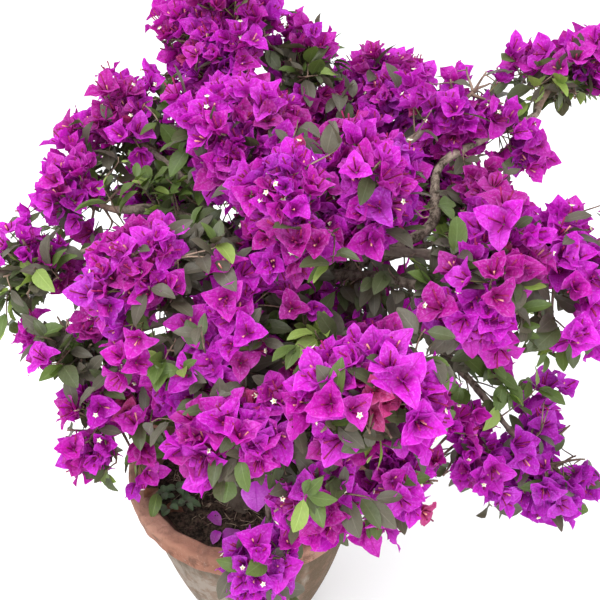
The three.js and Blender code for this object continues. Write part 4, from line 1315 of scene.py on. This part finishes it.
def soil_spots(random, count, top, spread):
    """Places on the soil, even over its disc."""
    reach = spread * np.sqrt(random.uniform(0.03, 1, count))
    return level(random.uniform(0, TURN, count), reach, top - soil_drop(reach, 0.073))


def clods(random, count, top):
    """Small lumps: octahedra whose corners are pushed in and out, turned round the upright axis."""
    shape = np.array([[1, 0, 0], [-1, 0, 0], [0, 1, 0], [0, -1, 0], [0, 0, 1], [0, 0, -1]], float)
    faces = np.array([[0, 2, 4], [2, 1, 4], [1, 3, 4], [3, 0, 4],
                      [2, 0, 5], [1, 2, 5], [3, 1, 5], [0, 3, 5]])
    size = random.uniform(0.0012, 0.0042, (count, 1, 1)) * random.uniform(0.6, 1.2, (count, 6, 1))
    turn = random.uniform(0, TURN, count)
    axes = np.stack([level(turn, 1, 0), level(turn + TURN / 4, 1, 0), np.tile(UP, (count, 1))], 1)
    spots = soil_spots(random, count, top, 0.128) + UP * 0.0008
    return repeat_faces((shape * size) @ axes + spots[:, None], faces)


def straws(random, count, top):
    """Thin bent bits lying on the soil: arcs between two nearby places."""
    start = soil_spots(random, count, top, 0.115) + UP * 0.002
    way = level(random.uniform(0, TURN, count), 1, random.uniform(-0.05, 0.15, count))
    end = start + way * random.uniform(0.006, 0.022, (count, 1))
    bent = unit(way + random.normal(scale=0.6, size=way.shape) * (1, 1, 0.3))
    return tubes(arcs(start, bent, end, way, 5), np.array([0.0003, 0.0006, 0.0006, 0.0005, 0.0003]), 4)


class BUSH_OT_litter(bpy.types.Operator):
    """Weeds, dry leaves and fallen bracts on the soil and the rim"""

    bl_idname = "bush.litter"
    bl_label = "Strew the litter"

    def execute(self, context):
        leaf, blossom = context.scene.bush_leaves, context.scene.bush_blossom
        random = np.random.default_rng(LITTER_SEED)
        top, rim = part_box("soil")[1][2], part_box("pot")[1][2]

        weeds = [from_photo(x, y, top + 0.004) for x, y in ((164, 498), (178, 492), (170, 512), (187, 505))]
        spots = np.repeat(weeds, 6, 0) + UP * random.uniform(0, 0.014, (24, 1))
        angle = np.tile(np.arange(6) * LEAF_TURN, 4) + random.uniform(0, 1, 24)
        shape = strewn(random, spots, angle, random.uniform(0.5, 1.1, 24), random.uniform(0.014, 0.025, 24),
                       random.uniform(0.008, 0.013, 24), 0.15, 0.3, 1.1, ovate(0.6, 0.8, 0.15))
        # The weeds' feet take the shade leaf colour: painted shade near the soil
        weed = blade_material("weed leaf", (0.075, 0.125, 0.06), leaf.shade, (0.11, 0.16, 0.08),
                              (0.15, 0.2, 0.11), 0.55, (0.1, 0.2, 0.04), 0.2, 6)
        add_piece("weeds", shape, weed, "leaf")

        on_rim = from_photo(143, 499, rim + 0.003)
        spots = np.concatenate([soil_spots(random, 9, top + 0.003, 0.12), [on_rim]])
        angle = random.uniform(0, TURN, 10)
        shape = strewn(random, spots, angle, 0.12, random.uniform(0.026, 0.04, 10),
                       random.uniform(0.014, 0.022, 10), 0.35, 0.45, 0.5, ovate(0.6, 0.9, 0.1))
        dry = blade_material("dry leaf", (0.16, 0.06, 0.03), (0.1, 0.04, 0.025), (0.24, 0.12, 0.07),
                             (0.09, 0.035, 0.02), 0.7, (0.3, 0.12, 0.05), 0.15, 6)
        add_piece("dry_leaves", shape, dry, "litter")

        spots = np.concatenate([soil_spots(random, 7, top + 0.003, 0.12), [from_photo(218, 531, top)]])
        angle = random.uniform(0, TURN, 8)
        scale = random.uniform(0.6, 1, 8)
        shape = strewn(random, spots, angle, 0.1, 0.032 * scale, 0.024 * scale, 0.2, 0.3, 0.4,
                       ovate(0.45, 0.8))
        faded = blade_material("faded bract", (0.36, 0.07, 0.36), blossom.violet, (0.5, 0.16, 0.5),
                               (0.25, 0.03, 0.22), 0.6, (0.5, 0.1, 0.5), 0.25, 7)
        add_piece("fallen_bracts", shape, faded, "blossom")
        hanging_bits(leaf, rim)
        return {"FINISHED"}


def strewn(random, spots, angle, rise, length, width, ripple, fold, bend, profile):
    """Blades that lie face up on their spots, each out at its angle and up by its rise."""
    phase = random.uniform(0, 6, len(spots))
    along = unit(level(angle, 1, rise))
    return blades(spots, along, UP, length, width, ripple, phase, fold, bend, profile, 4)


def hanging_bits(leaf, rim):
    """A faded bract that hangs on its stalk before the soil, seen from its back, and a leaf that
    droops over the rim."""
    base = from_photo(255, 481, 0.46)
    bract = blades(base[None], unit(np.array([[0.03, -0.12, -1.0]])), np.array([[0.1, -1.0, 0.35]]),
                   0.053, 0.035, 0.1, 1.0, 0.15, 0.2, ovate(0.36, 0.95, 0.0, 9), 8)
    lilac = blade_material("lilac bract", (0.56, 0.1, 0.62), (0.42, 0.02, 0.46), (0.68, 0.26, 0.72),
                           (0.36, 0.02, 0.4), 0.6, (0.6, 0.1, 0.6), 0.3, 9, 0.6, 0.12)
    add_piece("hanging_bract", bract, lilac, "blossom", MASS_NODES)
    line = np.stack([base + (-0.004, 0.012, 0.05), base + (0.001, 0.003, 0.022), base])[None]
    stalk = tubes(line, np.array([0.0009, 0.0007, 0.0006]), 5)
    add_piece("hanging_stalk", stalk, stalk_material("hanging stalk"), "bark", MASS_NODES)
    over_rim = blades(from_photo(158, 491, rim + 0.012)[None], unit(np.array([[0.0, -0.9, 0.1]])),
                      np.array([[0.25, -0.2, 1.0]]), 0.04, 0.018, 0.12, 0.5, 0.35, 1.3,
                      ovate(0.62, 0.92, 0.13, 9), 8)
    droop = blade_material("rim leaf", leaf.green, leaf.olive, leaf.green, leaf.fresh, 0.42,
                           leaf.fresh, 0.2, 7)
    add_piece("rim_leaf", over_rim, droop, "leaf", MASS_NODES)


class BUSH_OT_wood(bpy.types.Operator):
    """Trunk and boughs with ridged bark"""

    bl_idname = "bush.wood"
    bl_label = "Grow the wood"

    def execute(self, context):
        settings = context.scene.bush_wood
        grown = growth(context.scene)
        # The bare arm keeps the full ridge colour; the trunk and other boughs inside the crown get it
        # darkened to 0.65 as painted shade
        pale = bark_material("arm bark", settings.light, settings.dark, 150.0)
        bark = bark_material("bark", [c * 0.65 for c in settings.light], settings.dark, 150.0)
        rings, sides = 150, 40
        radii = trunk_radius(np.linspace(0, 1, rings), sides)
        trunk = limb_surface(evenly(grown["limbs"]["trunk"], rings), radii, settings.relief * 1.5,
                             TRUNK_BARK_SEED)
        add_piece("trunk_bark", trunk, bark, "bark", ("trunk",))
        shells = []
        sides = 18
        for i, mass in enumerate(grown["masses"]):
            if not mass["parent"]:
                continue
            line = grown["limbs"][mass["name"]]
            rings = max(24, int(line_length(line) / 0.005))
            radii = mass["thick"] * mix(1, BOUGH_TIP_SHARE, np.linspace(0, 1, rings) ** BOUGH_TAPER)
            radii = np.repeat(radii[:, None], sides, 1)
            shell = limb_surface(evenly(line, rings), radii, settings.relief, BOUGH_BARK_SEED + i)
            if mass["name"] == "arm_tip":
                add_piece("arm_bark", shell, pale, "bark", ("bough_arm_tip",))
            else:
                shells.append(shell)
        others = [name for name in BOUGH_NODES if name != "bough_arm_tip"]
        add_piece("bough_bark", joined(shells), bark, "bark", others)
        return {"FINISHED"}


def trunk_radius(share, sides):
    """Radius at shares of the trunk's length and round it: a straight taper, plus a flare at the foot
    in lobes."""
    angle = TURN * np.arange(sides) / sides
    flare = np.maximum(0, 1 - share / FLARE_SHARE)[:, None] ** 2
    lobes = 1 + ROOT_LOBE_DEPTH * np.cos(ROOT_LOBES * angle)
    return (mix(TRUNK_RADIUS, TRUNK_TIP_RADIUS, share)[:, None] + TRUNK_FLARE * flare * lobes) * MM


def limb_surface(line, radii, relief, seed):
    """A tube whose radius rises and falls in ridges that wander along the limb, in knots, and in fine
    roughness."""
    rings, sides = radii.shape
    shell, faces = tubes(line[None], 1.0, sides)
    outward = shell[:-2].reshape(rings, sides, 3) - line[:, None]
    angle = TURN * np.arange(sides) / sides
    along = np.linspace(0, 1, rings)[:, None] * line_length(line)
    ridges = np.abs(np.sin(2.5 * angle + 1.4 * np.sin(TURN * along / 0.11 + seed))) - 0.6
    surface = line[:, None] + outward * radii[..., None]
    knots = waves(surface, 0.05, seed) * 0.9
    fine = 0.5 * waves(surface, 0.009, seed + 1) + 0.35 * waves(surface, 0.005, seed + 2)
    rough = relief * (ridges + knots + fine) * np.clip(radii / 0.012, 0.35, 1.3)
    points = line[:, None] + outward * (radii + rough)[..., None]
    return np.concatenate([points.reshape(-1, 3), shell[-2:]]), faces


class BUSH_OT_twigs(bpy.types.Operator):
    """Stems, first twigs and fine twigs of the masses"""

    bl_idname = "bush.twigs"
    bl_label = "Grow the twigs"

    def execute(self, context):
        settings = context.scene.bush_twigs
        grown = growth(context.scene)
        stems, main, fine = grown["stems"], grown["main"], grown["fine"]
        thick = np.array([max(mass["thick"] * BOUGH_TIP_SHARE, 0.005) for mass in grown["masses"]])
        shape = joined([
            tubes(stems, mix(thick[:, None], 0.0024, np.linspace(0, 1, stems.shape[1]) ** 0.7), 9),
            tubes(main, settings.main_radius * np.linspace(1, 0.5, main.shape[1]), 5),
            tubes(fine, settings.fine_radius * np.linspace(1, 0.6, fine.shape[1]), 3),
        ])
        bark = bark_material("twig bark", settings.light, settings.dark, 90.0)
        add_piece("twigs", shape, bark, "bark", MASS_NODES)
        triads = grown["triads"]
        stalks = tubes(np.stack([triads["joint"], triads["base"]], 1), np.array([0.0008, 0.001]), 3)
        add_piece("blossom_stalks", stalks, stalk_material("blossom stalk"), "bark", MASS_NODES)
        return {"FINISHED"}


class BUSH_OT_leaves(bpy.types.Operator):
    """Leaves in four greens"""

    bl_idname = "bush.leaves"
    bl_label = "Grow the leaves"

    def execute(self, context):
        settings = context.scene.bush_leaves
        leaves = growth(context.scene)["leaves"]
        random = np.random.default_rng(LEAF_SHAPE_SEED)
        profile = ovate(0.66, 0.86, 0.13)
        for colour, name in ((GREEN, "green"), (OLIVE, "olive"), (SHADE, "shade"), (FRESH, "fresh")):
            chosen = leaves["colour"] == colour
            base, along, face, length, bend = (
                leaves[key][chosen] for key in ("base", "along", "face", "length", "bend"))
            count = len(base)
            width = length * settings.width * random.uniform(0.85, 1.12, count)
            shape = blades(base, along, face, length, width, random.uniform(0.05, 0.2, count),
                           random.uniform(0, 6.3, count), random.uniform(0.1, 0.55, count), bend,
                           profile, 2)
            tint = np.array(getattr(settings, name))
            tints = (tint, tint * 0.85, tint * 1.15, tint * 1.5 + 0.02)
            material = blade_material("leaf " + name, *tints, 0.42, tint * (1.5, 1.6, 0.8), 0.22, 7)
            add_piece("leaves_" + name, shape, material, "leaf", MASS_NODES)
        return {"FINISHED"}


class BUSH_OT_bracts(bpy.types.Operator):
    """Bracts in three to a blossom, in five colours"""

    bl_idname = "bush.bracts"
    bl_label = "Open the bracts"

    def execute(self, context):
        settings = context.scene.bush_blossom
        triads = growth(context.scene)["triads"]
        random = np.random.default_rng(BRACT_SEED)
        for colour, name in ((BRIGHT, "bright"), (MIDDLE, "middle"), (VIOLET, "violet"), (DEEP, "deep"),
                             (ROSY, "rosy")):
            chosen = np.flatnonzero(triads["colour"] == colour)
            tint = np.array(getattr(settings, name))
            # The second tint is the darker, redder foot: the bract's own deeper colour and partly painted
            # shade in the blossom's cup
            tints = (tint, tint * (0.5, 0.35, 0.34), tint + (0.13, 0.12, 0.21), tint * (0.6, 0.5, 0.4))
            glow = tint * (1.3, 1.1, 1.15)
            for part, some in enumerate(np.array_split(chosen, 1 + len(chosen) // MOST_IN_PIECE)):
                shape = bract_shapes(triads, some, settings, random)
                material = blade_material("bract " + name, *tints, 0.6, glow, 0.3, 9, 1.0, 0.18)
                piece_name = "bracts_" + name + (f"_{part + 1}" if part else "")
                add_piece(piece_name, shape, material, "blossom", MASS_NODES)
        return {"FINISHED"}


def triad_ways(triads, some):
    """For each of a triad's three bracts: the triad's axis, and the way out from it."""
    axis = np.repeat(triads["axis"][some], 3, 0)
    turn = np.repeat(triads["turn"][some], 3) + np.tile(np.arange(3) * TURN / 3, len(some))
    return axis, around(axis, SIDE + 0.013, turn)


def bract_shapes(triads, some, settings, random):
    """Ovate pointed blades that rise round the axis as a cup and curve outward, their halves folded
    up along the midrib."""
    count = 3 * len(some)
    axis, out = triad_ways(triads, some)
    wide = np.repeat(triads["open"][some], 3)
    lean = (mix(0.25, 0.8, wide) + random.normal(scale=0.1, size=count))[:, None]
    along = axis * np.cos(lean) + out * np.sin(lean)
    face = axis * np.sin(lean) - out * np.cos(lean)
    along = unit(along + random.normal(scale=0.05, size=along.shape))
    length = settings.bract_length * np.repeat(triads["scale"][some], 3) * random.uniform(0.92, 1.08, count)
    width = length * settings.bract_width * random.uniform(0.9, 1.08, count)
    base = np.repeat(triads["base"][some], 3, 0) + out * 0.0008
    return blades(base, along, face, length, width,
                  random.uniform(0.15, 0.42, count), random.uniform(0, 6.3, count),
                  random.uniform(0.12, 0.5, count), mix(0.2, 0.95, wide) * random.uniform(0.6, 1.3, count),
                  ovate(0.46, 0.95, 0.0, 7), 2)


class BUSH_OT_flowers(bpy.types.Operator):
    """Flower tubes in dark red and salmon, and open cream stars"""

    bl_idname = "bush.flowers"
    bl_label = "Open the flowers"

    def execute(self, context):
        settings = context.scene.bush_blossom
        triads = growth(context.scene)["triads"]
        random = np.random.default_rng(FLOWER_SEED)
        axis, out = triad_ways(triads, np.arange(len(triads["base"])))
        count = len(axis)
        scale = np.repeat(triads["scale"], 3)[:, None] * random.uniform(0.75, 1.15, (count, 1))
        foot = np.repeat(triads["base"], 3, 0) + (out * 0.0022 + axis * 0.002)
        heading = axis + out * random.uniform(0.1, 0.45, (count, 1))
        heading = unit(heading + random.normal(scale=0.06, size=axis.shape))
        old = random.random(count) < 0.16
        tip = foot + heading * settings.tube_length * scale * np.where(old, 0.7, 1)[:, None]
        lines = np.stack([foot, tip], 1)
        for kind, tint, chosen in (("red", settings.tube_colour, ~old), ("salmon", settings.salmon, old)):
            material = plain_material("tubes " + kind, [c * 0.6 for c in tint], tint, 60.0, 0.5, 0.1)
            shape = tubes(lines[chosen], np.array([0.0006, 0.0012]), 3)
            add_piece("tubes_" + kind, shape, material, "flower", MASS_NODES)
        chosen = np.flatnonzero((random.random(count) < 0.055) & ~old)
        tip, heading = tip[chosen], heading[chosen]
        tint = settings.cream
        cream = plain_material("cream petals", [c * 0.92 for c in tint], tint, 60.0, 0.5, 0.1)
        stars = star_shapes(tip, heading, settings.star / 2, random)
        add_piece("stars", stars, cream, "flower", MASS_NODES)
        yellow = plain_material("star eyes", (0.5, 0.42, 0.1), (0.62, 0.55, 0.2), 60.0, 0.6, 0.1)
        line = np.stack([tip - heading * 0.001, tip + heading * 0.0006], 1)
        eyes = tubes(line, np.array([0.001, 0.0012]), 5)
        add_piece("star_eyes", eyes, yellow, "flower", MASS_NODES)
        return {"FINISHED"}


def star_shapes(place, heading, radius, random):
    """Flat five-lobed stars square to their heading: ten corners, out and in by turns, round a sunk
    middle, as a double cone so that they are closed."""
    corner = np.arange(10)
    turn = TURN * corner / 10 + random.uniform(0, 6.3, (len(place), 1))
    reach = np.where(corner % 2 == 0, radius, radius * 0.55)
    place, heading = place[:, None], heading[:, None]
    rim = around(heading, SIDE + 0.017, turn) * reach[:, None]
    middles = place + heading * 0.0001, place - heading * 0.0016
    points = np.concatenate([place + rim + heading * 0.0006, *middles], 1)
    after = (corner + 1) % 10
    cones = (np.full(10, 10), corner, after), (np.full(10, 11), after, corner)
    return repeat_faces(points, np.concatenate([np.stack(corners, 1) for corners in cones]))


class BUSH_PT_panel(bpy.types.Panel):
    """Lists the makers of the bush's pieces and their settings"""

    bl_idname = "BUSH_PT_panel"
    bl_label = "Potted bush"
    bl_space_type = "VIEW_3D"
    bl_region_type = "UI"
    bl_category = "Bush"

    def draw(self, context):
        for operator in OPERATORS:
            self.layout.operator(operator.bl_idname)
        for name, group in SETTINGS.items():
            box = self.layout.box()
            box.label(text=group.__doc__)
            for prop in group.__annotations__:
                box.prop(getattr(context.scene, name), prop)


OPERATORS = (BUSH_OT_stage, BUSH_OT_pot, BUSH_OT_soil, BUSH_OT_litter, BUSH_OT_wood, BUSH_OT_twigs,
             BUSH_OT_leaves, BUSH_OT_bracts, BUSH_OT_flowers)


def register():
    for group in (*SETTINGS.values(), *OPERATORS, BUSH_PT_panel):
        bpy.utils.register_class(group)
    for name, group in SETTINGS.items():
        setattr(bpy.types.Scene, name, PointerProperty(type=group))


def unregister():
    for name in SETTINGS:
        delattr(bpy.types.Scene, name)
    for group in (BUSH_PT_panel, *reversed(OPERATORS), *SETTINGS.values()):
        bpy.utils.unregister_class(group)


def main():
    register()
    bpy.ops.bush.stage()
    bpy.ops.bush.pot()
    bpy.ops.bush.soil()
    bpy.ops.bush.litter()
    bpy.ops.bush.wood()
    bpy.ops.bush.twigs()
    bpy.ops.bush.leaves()
    bpy.ops.bush.bracts()
    bpy.ops.bush.flowers()
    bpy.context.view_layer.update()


if __name__ == "__main__":
    main()
